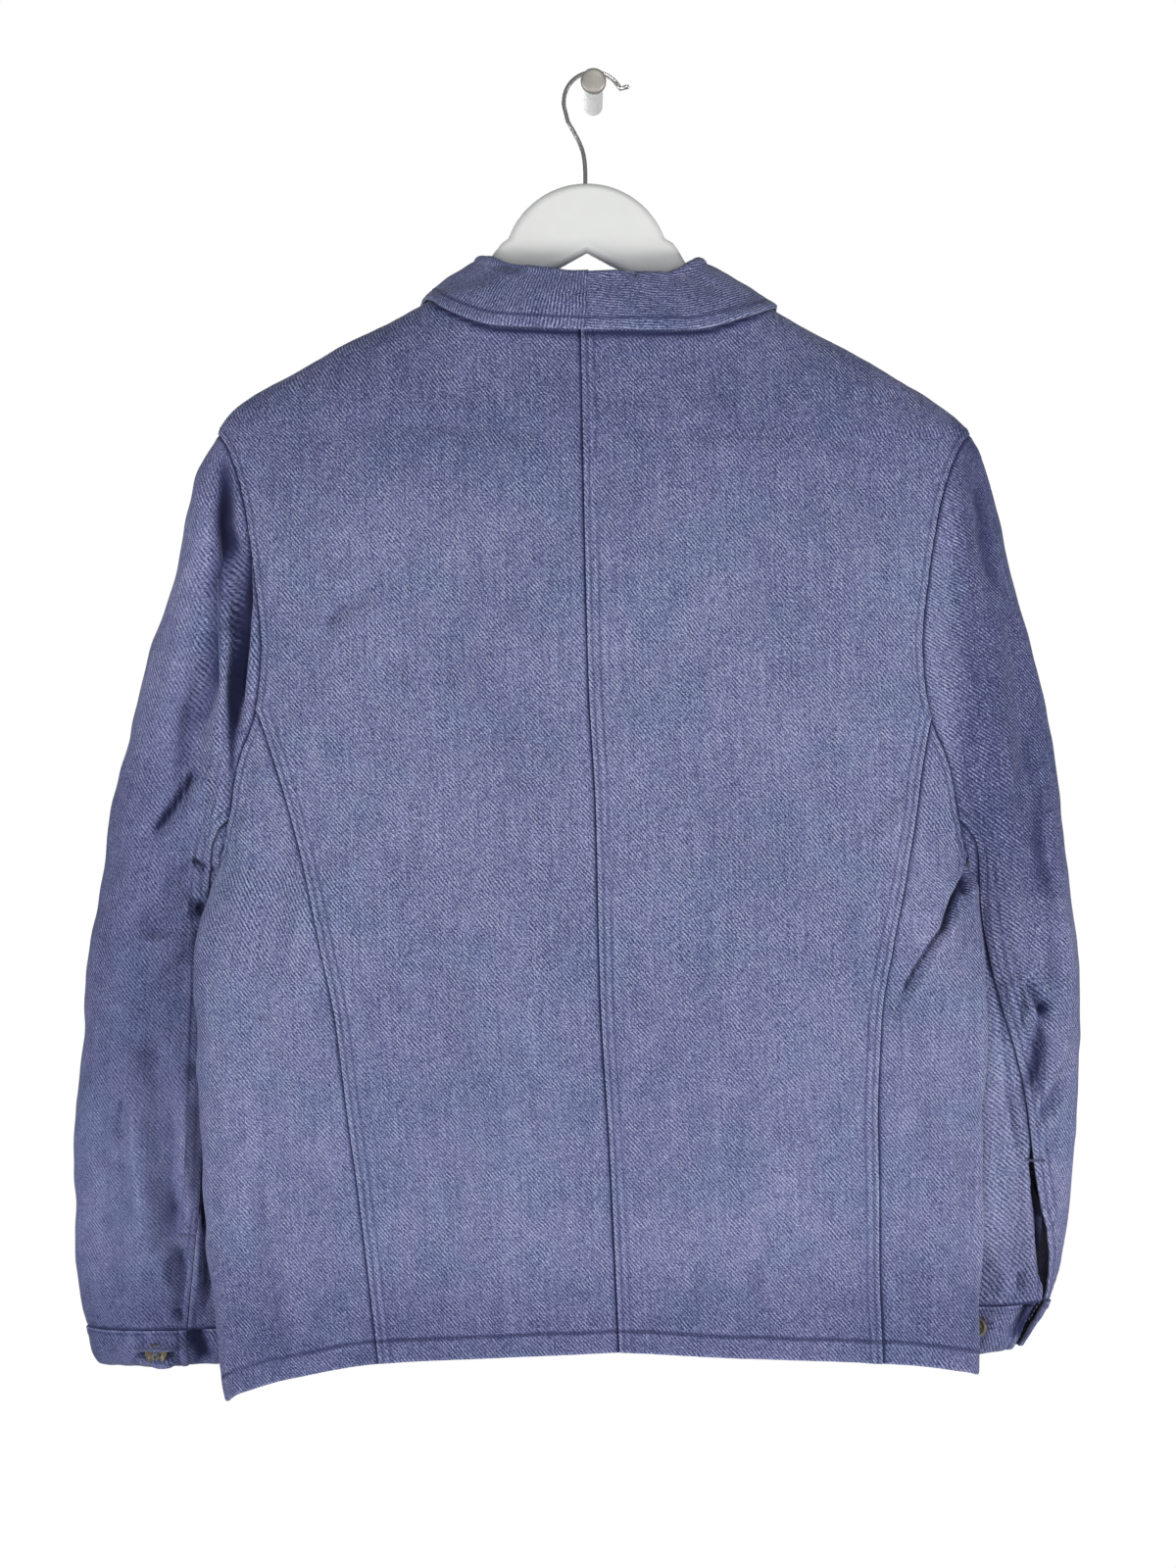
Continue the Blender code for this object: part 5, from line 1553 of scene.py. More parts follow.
def make_denim():
    """Worn blue and white twill: slanting ribs, mottled along the yarns, pale on ridges with wear and painted
    highlight, dark in grooves with dye and painted shade, and with painted shade by place.
    """
    look = Look("denim twill", 0.9, Sheen_Weight=0.12, Sheen_Roughness=0.5, Specular_IOR_Level=0.2)
    u, v, _ = look.parts(look.attribute("grain", "Vector"))
    wear_and_highlight, dye_and_shade, inside = (look.attribute(name) for name in ("wear_and_highlight", "dye_and_shade", "inside"))
    body = look.body()
    x, _, height = look.parts(body)

    # The weave: u runs along the weft and v along the warp, in millimetres.
    wander = look.noise(look.place(u * 0.06, v * 0.06))
    across = u * math.sin(TWILL_SLOPE) - v * math.cos(TWILL_SLOPE)
    along = u * math.cos(TWILL_SLOPE) + v * math.sin(TWILL_SLOPE)
    rib = ((across / TWILL_PERIOD + wander * 1.6) * (2 * math.pi)).math("SINE") * 0.5 + 0.5
    broken = look.noise(look.place(across / 7, along / 9), roughness=0.6).between(0.3, 0.68)
    snap = look.noise(look.place(across / 1.2, along / 3.4), detail=1.0)
    warp = look.noise(look.place(u / 0.8, v / 4), roughness=0.6)
    weft = look.noise(look.place(u / 3.4, v / 0.8), roughness=0.6)
    fleck = look.noise(look.place(u / 0.85, v / 1), detail=1.0)
    slub = look.noise(look.place(u / 1.6, v / 60), roughness=0.6)
    weave = (
        (rib - 0.5) * (0.34 + broken * 0.45) + (snap - 0.5) * 0.8 + (warp - 0.5) * 0.7
        + (weft - 0.5) * 0.4 + (fleck - 0.5) * 1.9 + (slub - 0.5) * 0.5
    )

    # How pale the cloth is. Its weave shows less low down, on the left sleeve, and where the dye and painted
    # shade are deep.
    cloud, patch = look.noise(body, 11.0, 3.0, 0.55), look.noise(body, 90.0, 3.0, 0.65)
    plainer = height.between(-0.55, -0.72) * 0.2 + x.between(-0.25, -0.27) * 0.35
    contrast = (1.13 - plainer) * (1 - dye_and_shade * 0.8).clamped()
    pale = 0.47 + weave * contrast + (cloud - 0.5) * 0.32 + (patch - 0.5) * 0.4
    # Wear and painted highlight make it paler; dye and painted shade in folds and along seams, and the
    # painted shade and tone by place, make it darker.
    pale = pale + wear_and_highlight * 0.2 - dye_and_shade * 0.46 - painted_shade_and_tone(x, height)

    colour = look.mixed(pale.between(-0.1, 0.55), INDIGO, FADED)
    colour = look.mixed(pale.between(0.45, 1.15), colour, BARE)
    drift = look.noise(body, 22.0, 3.0, 0.6).between(0.3, 0.7)
    colour = look.tinted(colour, look.mixed(drift, rgb(0.95, 1.0, 1.0), rgb(1.04, 0.97, 1.0)))
    colour = look.mixed(inside * 0.42, colour, WEFT_GREY)
    # Painted shade: the deepest folds and the inside of the right vent are tinted much darker.
    painted_vent_shadow = inside * x.between(0.255, 0.265) * height.between(-0.66, -0.7)
    colour = look.tinted(colour, SHADED, ((dye_and_shade - 0.9).clamped() + painted_vent_shadow).clamped())
    look.set("Base Color", colour)
    look.set("Roughness", 0.95 - rib * 0.1)
    look.set("Normal", look.bump(rib * 0.5 + warp * 0.5 + weft * 0.35 + fleck * 0.4, 0.0003, 0.5))
    return look.material


def make_thread():
    look = Look("sewing thread", 0.75)
    body = look.body()
    fuzz = look.noise(body, 900.0, 2.0)
    drift = look.noise(body, 26.0, 2.0)
    pale = (fuzz * 0.6 + drift * 0.5).between(0.3, 0.8)
    look.set("Base Color", look.mixed(pale, rgb(0.045, 0.05, 0.12), rgb(0.17, 0.19, 0.33)))
    look.set("Normal", look.bump(fuzz, 0.0003, 0.5))
    return look.material


def make_horn():
    """Olive-brown imitation horn with fine streaks."""
    look = Look("olive brown horn", 0.35, Coat_Weight=0.25, Coat_Roughness=0.25)
    streak = look.noise(look.stretched(look.body(), (260, 260, 60)), 1.0, 3.0, 0.6)
    pale = streak.between(0.35, 0.7)
    look.set("Base Color", look.mixed(pale, rgb(0.045, 0.035, 0.022), rgb(0.19, 0.165, 0.105)))
    look.set("Roughness", 0.3 + streak * 0.2)
    return look.material


def make_white():
    look = Look("white lacquer", 0.4)
    body = look.body()
    mottle = look.noise(body, 60.0, 3.0)
    look.set("Base Color", look.mixed(mottle, rgb(0.84, 0.845, 0.82), rgb(0.9, 0.905, 0.885)))
    look.set("Roughness", 0.34 + mottle * 0.14)
    look.set("Normal", look.bump(look.noise(body, 220.0, 2.0), 0.0002, 0.4))
    return look.material


def make_chrome():
    look = Look("polished wire", 0.16, Metallic=1.0)
    scuff = look.noise(look.stretched(look.body(), (300, 300, 60)), 1.0, 3.0)
    look.set("Base Color", look.mixed(scuff, rgb(0.62, 0.61, 0.59), rgb(0.78, 0.77, 0.75)))
    look.set("Roughness", 0.1 + scuff * 0.2)
    return look.material


HEAD_END = (-0.0708, -0.0702)  # where the peg's head passes into its shaft, in metres


def make_steel():
    """The peg: a brushed warm grey head on a paler shaft."""
    look = Look("brushed warm steel", 0.4, Metallic=1.0)
    x, y, z = look.parts(look.body())
    brush = look.noise(look.place(x * 300, y * 300, z * 30), 1.0, 3.0, 0.6)
    shaft = y.between(*HEAD_END)
    head = look.mixed(brush, rgb(0.4, 0.37, 0.34), rgb(0.58, 0.55, 0.51))
    look.set("Base Color", look.mixed(shaft, head, rgb(0.93, 0.93, 0.92)))
    look.set("Metallic", 0.7 - shaft * 0.7)
    look.set("Roughness", 0.42 + brush * 0.2)
    return look.material


def make_floor_look():
    look = Look("pale floor", 0.8)
    body = look.body()
    mottle = look.noise(body, 5.0, 4.0)
    look.set("Base Color", look.mixed(mottle, rgb(0.80, 0.80, 0.79), rgb(0.86, 0.86, 0.85)))
    return look.material


DENIM, THREAD = make_denim(), make_thread()
HORN, WHITE, CHROME, STEEL = make_horn(), make_white(), make_chrome(), make_steel()


# ---------------------------------------------------------------- hard pieces
def finished(name, shape, finish, sharp=40):
    """A mesh object from a bmesh in millimetres, with its faces outwards."""
    bmesh.ops.remove_doubles(shape, verts=shape.verts, dist=0.002)
    bmesh.ops.recalc_face_normals(shape, faces=shape.faces)
    bmesh.ops.scale(shape, vec=(MM, MM, MM), verts=shape.verts)
    mesh = bpy.data.meshes.new(name)
    shape.to_mesh(mesh)
    shape.free()
    mesh.shade_smooth()
    mesh.set_sharp_from_angle(angle=math.radians(sharp))
    mesh.materials.append(finish)
    return placed(name, mesh)


def turned(profile, axis, sides):
    """A bmesh turned from a profile about an axis through the origin."""
    shape = bmesh.new()
    line = [shape.verts.new(point) for point in profile]
    edges = [shape.edges.new(pair) for pair in zip(line, line[1:])]
    bmesh.ops.spin(
        shape, geom=line + edges, cent=(0, 0, 0), axis=axis, angle=2 * math.pi, steps=sides, use_merge=True
    )
    return shape


def tube(shape, rings, sides):
    """Adds a closed round tube to a bmesh, through rings of a centre, two axes and a radius."""
    loops = [
        [
            shape.verts.new(centre + (first * math.cos(a) + second * math.sin(a)) * radius)
            for a in np.linspace(0, 2 * math.pi, sides + 1)[:-1]
        ]
        for centre, first, second, radius in rings
    ]
    for near, far in zip(loops, loops[1:]):
        for k in range(sides):
            shape.faces.new((near[k - 1], near[k], far[k], far[k - 1]))
    shape.faces.new(loops[0])
    shape.faces.new(loops[-1])


def plain_mesh(obj):
    """Puts a plain mesh of what an object's modifiers make of it in the object's place."""
    made = bpy.data.meshes.new_from_object(obj.evaluated_get(bpy.context.evaluated_depsgraph_get()))
    name = obj.name
    bpy.data.objects.remove(obj)
    return placed(name, made)


PEG_PROFILE = (  # radius, and distance from the wall
    (0, 0), (6.0, 0), (6.5, -0.6), (6.5, -70.0), (7.2, -70.4), (8.1, -71.2), (8.5, -72.2), (8.6, -73.0),
    (8.6, -76.0), (8.3, -76.9), (7.6, -77.6), (6.6, -77.9), (3.0, -78.3), (0, -78.4),
)


def make_peg():
    """The wall peg, its shaft and its round head in one."""
    shape = turned([(r, y, 0.0) for r, y in PEG_PROFILE], (0, 1, 0), 64)
    hand_over(finished("peg_with_round_head", shape, STEEL, 30), "wall_peg")


def make_hook():
    """The hanger's wire as one round tube, with a rounded tip."""
    centre_z = PEG_RADIUS + SEAM_GAP + WIRE_RADIUS - HOOK_RADIUS
    path = [(x, centre_z + height) for x, height in HOOK_TIP]
    for angle in np.radians(np.linspace(*HOOK_ARC, 45)):
        path.append((HOOK_RADIUS * math.cos(angle), centre_z + HOOK_RADIUS * math.sin(angle)))
    drops = np.linspace(HOOK_NECK["drop"][0], HOOK_NECK["drop"][-1], 24)
    xs = read({"drop": HOOK_NECK["drop"], "x": HOOK_NECK["x"]}, "x", drops)
    path += list(zip(xs, -drops)) + [(STEM_X, -DOME_TOP_DROP - STEM_DEPTH + 2)]
    path = np.array([(x, HANG_Y, z) for x, z in path])
    along = unit(np.gradient(path, axis=0))
    beside = np.array([0, 1.0, 0])  # square to the plane that the wire lies in
    other = np.cross(along, beside)
    rings = []
    for a in np.radians(np.linspace(90, 22.5, 4)):  # the rounded tip
        tip = path[0] - along[0] * WIRE_RADIUS * math.sin(a) * 0.9
        rings.append((tip, beside, other[0], WIRE_RADIUS * max(math.cos(a), 0.02)))
    rings += [(point, beside, across, WIRE_RADIUS) for point, across in zip(path, other)]
    shape = bmesh.new()
    tube(shape, rings, 20)
    hand_over(finished("hook_of_bent_wire", shape, CHROME, 60), "hanger_hook")


def board_half(side):
    """Outline of one half of the board, from the dome's top out to the arm's end and back to the apex."""
    name = SIDES[side]
    points = []
    for angle in np.radians(np.linspace(90, 20, 29)):
        points.append((
            BOARD_X + side * DOME_RADIUS * math.cos(angle),
            -DOME_TOP_DROP - DOME_RADIUS + DOME_RADIUS * math.sin(angle),
        ))
    root_drops = np.linspace(ARM_ROOT["drop"][0], ARM_ROOT["drop"][-1], 16)
    points += list(zip(read(ARM_ROOT, name, root_drops), -root_drops))
    for drop in np.linspace(ARM_DROPS[0], ARM_DROPS[-1], 14):
        points.append((float(read(BODY, name, drop)), -drop - ARM_BELOW_RIDGE))
    last_z = points[-1][1]
    points += [(side * (ARM_END - x), last_z - z) for x, z in zip(*ARM_TIP.values())]
    under_z = -ARM_APEX_DROP - ARM_UNDERSIDE_SLOPE * (ARM_END - ARM_CORNER)
    points += [
        (side * (ARM_END - ARM_CORNER * 0.2), under_z + ARM_CORNER / 2),
        (side * (ARM_END - ARM_CORNER), under_z),
    ]
    return points


def make_board():
    """The hanger's board: its outline at one thickness, with rounded edges."""
    left, right = board_half(-1), board_half(1)
    outline = right + [(BOARD_X, -ARM_APEX_DROP)] + left[:0:-1]
    shape = bmesh.new()
    front = HANG_Y - BOARD_THICKNESS / 2
    face = shape.faces.new([shape.verts.new((x, front, z)) for x, z in outline])
    extruded = bmesh.ops.extrude_face_region(shape, geom=[face])
    moved = [v for v in extruded["geom"] if isinstance(v, bmesh.types.BMVert)]
    bmesh.ops.translate(shape, verts=moved, vec=(0, BOARD_THICKNESS, 0))
    board = finished("board_with_round_edges", shape, WHITE, 30)
    bevel = board.modifiers.new("rounded edges", "BEVEL")
    bevel.width = BOARD_EDGE * MM
    bevel.segments = 6
    bevel.limit_method = "ANGLE"
    bevel.angle_limit = math.radians(60)
    hand_over(plain_mesh(board), "hanger_board")


BUTTON_PROFILE = (  # shares of the button's radius and of its thickness
    (0, 0), (0.8, 0), (0.9, 0.12), (0.97, 0.3), (1, 0.5), (1, 0.72), (0.975, 0.88), (0.93, 0.97),
    (0.88, 1), (0.8, 0.99), (0.73, 0.93), (0.67, 0.8), (0.62, 0.68), (0.55, 0.61), (0.4, 0.58), (0, 0.57),
)
BUTTON_HOLE_AT, BUTTON_HOLE_RADIUS = 0.24, 0.085  # shares of the button's radius
SMALLEST_HOLE = 0.7
THREAD_THICKNESS = 0.33  # on a front button
THREAD_RISE, THREAD_ENDS, THREAD_LAP = 0.45, 1.2, 0.25  # its bow, its ends in the holes, its crossing


def button_body(name, radius):
    """A button with a raised rim, a sunk middle and four drilled holes, flat on the origin."""
    profile = [(r * radius, 0, share * BUTTON_THICKNESS) for r, share in BUTTON_PROFILE]
    body = finished(name, turned(profile, (0, 0, 1), 48), HORN, 34)
    at, size = BUTTON_HOLE_AT * radius, max(BUTTON_HOLE_RADIUS * radius, SMALLEST_HOLE)
    drills = bmesh.new()
    for x in (-at, at):
        for y in (-at, at):
            bmesh.ops.create_cone(
                drills, cap_ends=True, segments=14, radius1=size, radius2=size, depth=3 * BUTTON_THICKNESS,
                matrix=Matrix.Translation((x, y, 0)),
            )
    drill = finished(name + "_drill", drills, HORN)
    cut = body.modifiers.new("holes", "BOOLEAN")
    cut.operation, cut.object, cut.solver = "DIFFERENCE", drill, "EXACT"
    body = plain_mesh(body)
    bpy.data.objects.remove(drill)
    body.name = name
    return body


def button_thread(name, radius):
    """Two pairs of strands that cross over a button from hole to hole."""
    threads = bmesh.new()
    at, thick = BUTTON_HOLE_AT * radius, THREAD_THICKNESS * radius / BUTTON_RADIUS
    line = np.linspace(0, 1, 9)
    bow = THREAD_RISE * np.sin(np.pi * line) ** 0.5 - THREAD_ENDS * (np.abs(line - 0.5) > 0.49)
    upwards = np.array([0, 0, 1.0])
    for k, (x0, y0, x1, y1) in enumerate(((-at, -at, at, at), (-at, at, at, -at))):
        beside = unit(np.array([-(y1 - y0), x1 - x0, 0]))
        height = BUTTON_THICKNESS * BUTTON_PROFILE[-1][1] + bow + THREAD_LAP * k
        strand = np.stack([x0 + (x1 - x0) * line, y0 + (y1 - y0) * line, height], axis=-1)
        for off in (-thick, thick):
            tube(threads, [(point + beside * off, beside, upwards, thick) for point in strand], 6)
    return finished(name + "_thread", threads, THREAD, 60)


def make_button(name, node, centre, normal, radius, turn):
    """A button and its thread, sewn on at a place of the cloth."""
    body, thread = button_body(name, radius), button_thread(name, radius)
    facing = Vector(normal).to_track_quat("Z", "Y").to_matrix().to_4x4()
    place = Matrix.Translation(Vector(centre) * MM) @ facing @ Matrix.Rotation(turn, 4, "Z")
    for piece in (body, thread):
        piece.data.transform(place)
    hand_over(body, node)
    hand_over(thread)


# ---------------------------------------------------------------- stitches
class Nodes:
    """A tree of geometry nodes with named inputs."""

    def __init__(self, name, inputs):
        self.tree = bpy.data.node_groups.new(name, "GeometryNodeTree")
        face = self.tree.interface
        face.new_socket("Geometry", in_out="INPUT", socket_type="NodeSocketGeometry")
        for label, kind, value in inputs:
            face.new_socket(label, in_out="INPUT", socket_type=kind).default_value = value
        face.new_socket("Geometry", in_out="OUTPUT", socket_type="NodeSocketGeometry")
        self.given = self.tree.nodes.new("NodeGroupInput").outputs

    def node(self, kind, settings=None, values=None, out=0):
        return add_node(self.tree, kind, settings, values)[out]

    def result(self, socket):
        add_node(self.tree, "NodeGroupOutput", values={0: socket})


STITCH_SLANT = (-0.09, 0.09)  # radians off its line
STITCH_SIZE = (0.86, 1.08)


def make_stitch_tree():
    """Lays short rounded stitches along lines that carry the way they face."""
    nodes = Nodes("stitches along lines", (
        ("Pitch", "NodeSocketFloat", 0.003),
        ("Stitch length", "NodeSocketFloat", 0.0024),
        ("Thread width", "NodeSocketFloat", 0.0007),
        ("Turn", "NodeSocketFloat", 0.0),
        ("Seed", "NodeSocketInt", 1),
    ))
    given = nodes.given
    lines = nodes.node("GeometryNodeMeshToCurve", values={0: given["Geometry"]})
    points = nodes.node(
        "GeometryNodeResampleCurve", {"mode": "LENGTH"}, {"Curve": lines, "Length": given["Pitch"]}
    )
    facing = nodes.node(
        "GeometryNodeInputNamedAttribute", {"data_type": "FLOAT_VECTOR"}, {"Name": "facing"}
    )
    upright = nodes.node("FunctionNodeAlignRotationToVector", {"axis": "Z"}, {"Vector": facing})
    along = nodes.node(
        "FunctionNodeAlignRotationToVector", {"axis": "X", "pivot_axis": "Z"},
        {"Rotation": upright, "Vector": nodes.node("GeometryNodeInputTangent")},
    )

    def at_random(low, high):
        values = {2: low, 3: high, "Seed": given["Seed"]}
        return nodes.node("FunctionNodeRandomValue", {"data_type": "FLOAT"}, values, out=1)

    turn = nodes.node("ShaderNodeMath", {"operation": "ADD"}, {0: given["Turn"], 1: at_random(*STITCH_SLANT)})
    spin = nodes.node("FunctionNodeEulerToRotation", values={
        0: nodes.node("ShaderNodeCombineXYZ", values={2: turn})})
    rotation = nodes.node(
        "FunctionNodeRotateRotation", {"rotation_space": "LOCAL"}, {"Rotation": along, "Rotate By": spin}
    )
    size = nodes.node("ShaderNodeCombineXYZ", values={
        0: given["Stitch length"], 1: given["Thread width"], 2: given["Thread width"]})
    scale = nodes.node(
        "ShaderNodeVectorMath", {"operation": "SCALE"}, {0: size, "Scale": at_random(*STITCH_SIZE)}
    )
    bead = nodes.node("GeometryNodeMeshIcoSphere", values={"Radius": 0.5, "Subdivisions": 1})
    stitch = nodes.node("GeometryNodeSetShadeSmooth", values={0: bead})
    laid = nodes.node("GeometryNodeInstanceOnPoints", values={
        "Points": points, "Instance": stitch, "Rotation": rotation, "Scale": scale})
    real = nodes.node("GeometryNodeRealizeInstances", values={0: laid})
    thread = nodes.node("GeometryNodeSetMaterial", values={"Geometry": real, "Material": THREAD})
    nodes.result(thread)
    return nodes.tree


STITCHES = make_stitch_tree()


def sew(name, lines, pitch=3.0, length=2.5, width=0.62, turn=0.0, seed=1):
    """One piece of thread: stitches along lines of (points, normals) in millimetres."""
    points = np.concatenate([line[0] for line in lines])
    normals = np.concatenate([line[1] for line in lines])
    edges, start = [], 0
    for line in lines:
        edges += [(start + k, start + k + 1) for k in range(len(line[0]) - 1)]
        start += len(line[0])
    mesh = bpy.data.meshes.new(name + "_lines")
    mesh.from_pydata(points * MM, edges, [])
    set_attribute(mesh, "facing", normals)
    guide = placed(name, mesh)
    tool = guide.modifiers.new("stitches", "NODES")
    tool.node_group = STITCHES
    values = {
        "Pitch": pitch * MM, "Stitch length": length * MM, "Thread width": width * MM,
        "Turn": turn, "Seed": seed,
    }
    for item in STITCHES.interface.items_tree:
        if item.in_out == "INPUT" and item.name in values:
            tool[item.identifier] = values[item.name]
    thread = plain_mesh(guide)
    facing = thread.data.attributes.get("facing")
    if facing:
        thread.data.attributes.remove(facing)
    hand_over(thread)


STITCH_LIFT = 0.12  # of its middle off the cloth
CLEAR_OF_EDGES = 1.0  # where a row of stitches stops before another edge
SHORTEST_ROW = 4  # points


def stitch_rows(panel, middle):
    """The rows of stitches along a panel's sewn edges, each cut where another edge comes near."""
    rows = []
    for index, (kind, a, b, line) in enumerate(panel.edges):
        for distance in SEWN[kind]["rows"]:
            ra, rb = panel.beside(a, b, distance, middle)
            found = panel.at(ra, rb)
            points, normals = found["points"] + found["normals"] * STITCH_LIFT, found["normals"]
            keep = np.linalg.norm(normals, axis=-1) > 0.5
            for other, (kind_2, _, _, line_2) in enumerate(panel.edges):
                if other == index:
                    continue
                clear = CLEAR_OF_EDGES
                if kind_2 == kind == "leaf":
                    clear = SEWN[kind]["rows"][0] - 0.5
                keep &= distance_to(panel.surface(ra, rb), line_2)[0] > clear
            for run in np.split(np.arange(len(keep)), np.where(~keep)[0]):
                run = run[keep[run]]
                if len(run) >= SHORTEST_ROW:
                    rows.append((points[run], normals[run]))
    return rows


# ---------------------------------------------------------------- the stage
AMBIENT, COOL_WHITE = 0.18, rgb(0.93, 0.965, 1.0)
LIGHTS = (  # name, place, aim, size, power and tint
    ("right softbox", (2.1, -1.5, -1.15), (0, -0.05, -0.6), 0.7, 35, (1.0, 0.99, 0.97)),
    ("left softbox", (-2.1, -1.5, -1.15), (0, -0.05, -0.6), 0.7, 27, (0.98, 0.99, 1.0)),
    ("front fill", (0.0, -2.8, -1.1), (0, -0.05, -0.6), 1.2, 18.5, (1.0, 1.0, 1.0)),
    ("high key", (0.25, -1.5, 0.8), (0, -0.05, -0.4), 0.25, 4.2, (1.0, 1.0, 0.99)),
    ("back fill", (-0.4, 2.2, 0.2), (0, -0.05, -0.5), 1.6, 30, (0.96, 0.98, 1.0)),
)
FLOOR_RADIUS, FLOOR_THICKNESS, FLOOR_CENTRE = 700, 12, (0, -50, -1206)
CAMERA_PLACE = (-0.0036, -2.065, -0.471)
CAMERA_LENS, SENSOR_WIDTH, CLIP_END = 68.18, 36.0, 50.0


def make_world(scene):
    """White to the camera, and a faint cool light on the cloth."""
    world = bpy.data.worlds.new("white studio")
    scene.world = world
    world.use_nodes = True
    tree = world.node_tree
    tree.nodes.clear()
    ambient = add_node(tree, "ShaderNodeBackground", values={"Color": COOL_WHITE, "Strength": AMBIENT})
    seen = add_node(tree, "ShaderNodeBackground", values={"Color": rgb(1, 1, 1)})
    path = add_node(tree, "ShaderNodeLightPath")
    mix = add_node(tree, "ShaderNodeMixShader", values={0: path["Is Camera Ray"], 1: ambient[0], 2: seen[0]})
    add_node(tree, "ShaderNodeOutputWorld", values={0: mix[0]})


def make_stage():
    """The studio: its white surroundings, lights, floor and camera."""
    scene = bpy.context.scene
    scene.view_settings.view_transform = "Standard"
    make_world(scene)
    for name, place, aim, size, power, tint in LIGHTS:
        light = bpy.data.lights.new(name, "AREA")
        light.shape, light.size, light.energy, light.color = "DISK", size, power, tint
        lamp = placed(name, light)
        lamp.location = place
        lamp.rotation_mode = "QUATERNION"
        lamp.rotation_quaternion = (Vector(place) - Vector(aim)).to_track_quat("Z", "Y")

    disc = bmesh.new()
    bmesh.ops.create_cone(
        disc, cap_ends=True, segments=96, radius1=FLOOR_RADIUS, radius2=FLOOR_RADIUS, depth=FLOOR_THICKNESS,
        matrix=Matrix.Translation(FLOOR_CENTRE),
    )
    finished("floor", disc, make_floor_look())

    data = bpy.data.cameras.new("camera")
    data.lens, data.sensor_width, data.clip_end = CAMERA_LENS, SENSOR_WIDTH, CLIP_END
    camera = placed("camera", data)
    camera.location = CAMERA_PLACE
    camera.rotation_euler = (math.radians(90), 0, 0)
    scene.camera = camera


# ---------------------------------------------------------------- putting it together
# Each piece's net cut: width, length and area, in metres.
CUTS = {
    ("back", -1): (0.256, 0.715, 0.141),
    ("back", 1): (0.262, 0.715, 0.147),
    ("front", -1): (0.345, 0.75, 0.226),
    ("front", 1): (0.345, 0.73, 0.216),
    ("sleeve_top", -1): (0.205, 0.61, 0.111),
    ("sleeve_top", 1): (0.19, 0.60, 0.088),
    ("sleeve_bottom", -1): (0.088, 0.42, 0.019),
    ("sleeve_bottom", 1): (0.105, 0.42, 0.027),
    ("cuff_band", -1): (0.296, 0.0275, None),
    ("cuff_band", 1): (0.262, 0.0275, None),
    ("collar_half", -1): (0.255, 0.102, None),
    ("collar_half", 1): (0.258, 0.102, None),
}
BARTACKS = {-1: ((-280.2, 777), (-265, 777.6)), 1: ((293.8, 725.6), (306.4, 727))}  # x and drop of the ends
CUFF_HOLE = 26  # length of a cuff's buttonhole
CUFF_HOLE_GAP = {-1: 3.6, 1: 1.2}  # from its middle to each row of its thread
CUFF_BUTTON_SEAT = {-1: -1.2, 1: 0.3}  # how far each stands off its cuff; the left one is in its hole
FRONT_HOLE_START, FRONT_HOLE_TURNS = -1.004, 0.03  # its first end and its length, in turns
FRONT_HOLE_GAP = 1.1
ACROSS = math.pi / 2  # how bars and buttonholes turn their stitches from the line
BUTTON_TURN, CUFF_BUTTON_TURN = 0.3, 0.5  # radians: from each front button to the next, and on the cuffs


def make_cloth(side, cloth):
    """Adds one side's six pieces and their stitch rows: each one's shell, panel, node, cut and rests."""
    name = SIDES[side]
    body = [f"back_{name}", f"front_{name}"]
    for label, node, (panel, nets), rests in (
        ("back", "back", back_panel(side), ["hanger_board"]),
        ("front", "front", front_panel(side), ["hanger_board"]),
        ("sleeve_top", "sleeve_upper", sleeve_panel(side, "upper"), body),
        ("sleeve_bottom", "sleeve_under", sleeve_panel(side, "under"), body),
        ("cuff_band", "cuff", cuff_panel(side), [f"sleeve_upper_{name}"]),
        ("collar_half", "collar", collar_panel(side), body),
    ):
        shell = add_shell(f"{label}_{name}_denim", panel, nets)
        middle = [values[values.shape[0] // 2, values.shape[1] // 2] for values in nets[0]]
        sew(f"{label}_{name}_stitches", stitch_rows(panel, middle), seed=len(cloth) + 1)
        cloth[label, side] = (shell, panel, f"{node}_{name}", CUTS[label, side], rests)


def lifted_line(panel, a, b, lift=0.2):
    """A line on a panel, a little off its surface, with the way that the cloth faces."""
    found = panel.at(a, b)
    return found["points"] + found["normals"] * lift, found["normals"]


def sew_bar(panel, side):
    """The bar of thread at the head of a vent, between the two places that it ties together."""
    turn, row = np.meshgrid(np.linspace(-0.2, 0.7, 541), np.linspace(6, 11, 301))
    net = panel.surface(turn, row)
    far_side = net[..., 1] > net[..., 1].mean()
    ends = []
    for x, drop in BARTACKS[side]:
        away = np.hypot(net[..., 0] - x, -net[..., 2] - drop) + 99 * far_side
        at = np.unravel_index(np.argmin(away), away.shape)
        ends.append((turn[at], row[at]))
    (a1, b1), (a2, b2) = ends
    share = np.linspace(0, 1, 40)
    line = lifted_line(panel, a1 + (a2 - a1) * share, b1 + (b2 - b1) * share, 0.25)
    sew(f"vent_bar_{SIDES[side]}_stitches", [line], pitch=0.45, length=2.3, width=0.6, turn=ACROSS, seed=3)


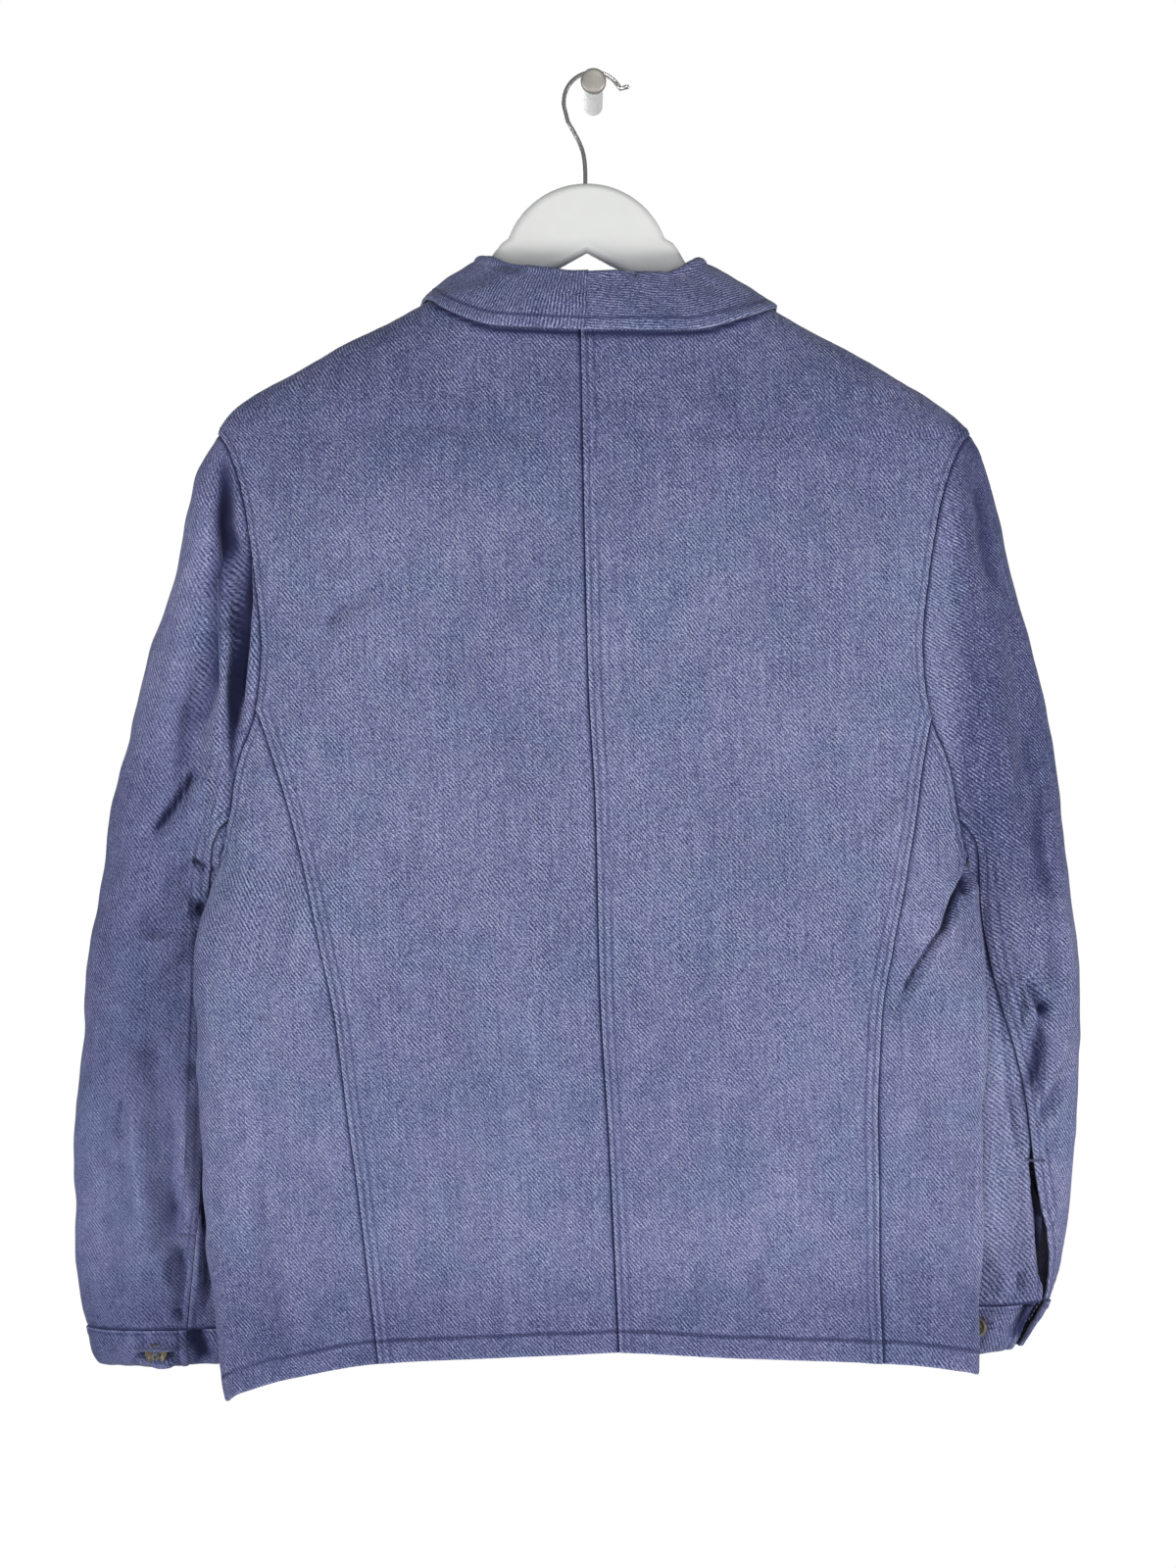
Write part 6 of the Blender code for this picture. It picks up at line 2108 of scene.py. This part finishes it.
def sew_cuff_hole(panel, side):
    """The thread round a cuff's buttonhole."""
    turn, row = CUFF_BUTTON[side]
    share = np.linspace(0, 1, 40)
    lines = []
    for up in (-1, 1):
        off = up * CUFF_HOLE_GAP[side] / CUFF_ROW
        around = turn + (share - 0.5) * CUFF_HOLE / CUFF_GIRTH
        lines.append(lifted_line(panel, around, row + off + 0 * share))
    sew(f"cuff_hole_{SIDES[side]}_stitches", lines, pitch=0.6, length=2, width=0.5, turn=ACROSS, seed=5)


def sew_front_holes(panel):
    """The thread round the front's buttonholes."""
    share = np.linspace(0, 1, 40)
    lines = []
    for drop in BUTTON_DROPS:
        for up in (-FRONT_HOLE_GAP, FRONT_HOLE_GAP):
            around = FRONT_HOLE_START + share * FRONT_HOLE_TURNS
            lines.append(lifted_line(panel, around, drop + up + 0 * share))
    sew("front_hole_stitches", lines, pitch=0.6, length=2.1, width=0.5, turn=ACROSS, seed=7)


def make_buttons(panels):
    """Five buttons down the front and one on each cuff."""
    for number, drop in enumerate(BUTTON_DROPS, 1):
        place = panels["front", -1].at(np.array([-1.0]), np.array([float(drop)]))
        centre, normal = place["points"][0], place["normals"][0]
        name, node, turn = f"front_button_{number}", f"button_{number}", BUTTON_TURN * number
        make_button(name, node, centre, normal, BUTTON_RADIUS, turn)
    for side, word in SIDES.items():
        turn, row = CUFF_BUTTON[side]
        cuff = panels["cuff_band", side]
        normal = cuff.at(np.array([turn]), np.array([row]))["normals"][0]
        centre = cuff.surface(turn, np.array(row)) + normal * CUFF_BUTTON_SEAT[side]
        name, node = f"sleeve_button_{word}", f"cuff_button_{word}"
        make_button(name, node, centre, normal, CUFF_BUTTON_RADIUS, CUFF_BUTTON_TURN)


def main():
    """Builds the stage, the cloth with its sewing, and the hard pieces."""
    make_stage()
    cloth = {}
    for side in SIDES:
        make_cloth(side, cloth)
    panels = {key: found[1] for key, found in cloth.items()}
    for side in SIDES:
        sew_bar(panels["sleeve_top", side], side)
        sew_cuff_hole(panels["cuff_band", side], side)
    sew_front_holes(panels["front", -1])
    make_peg()
    make_hook()
    make_board()
    make_buttons(panels)
    for shell, _, node, (width, length, area), rests in cloth.values():
        hand_over(shell, node)


main()
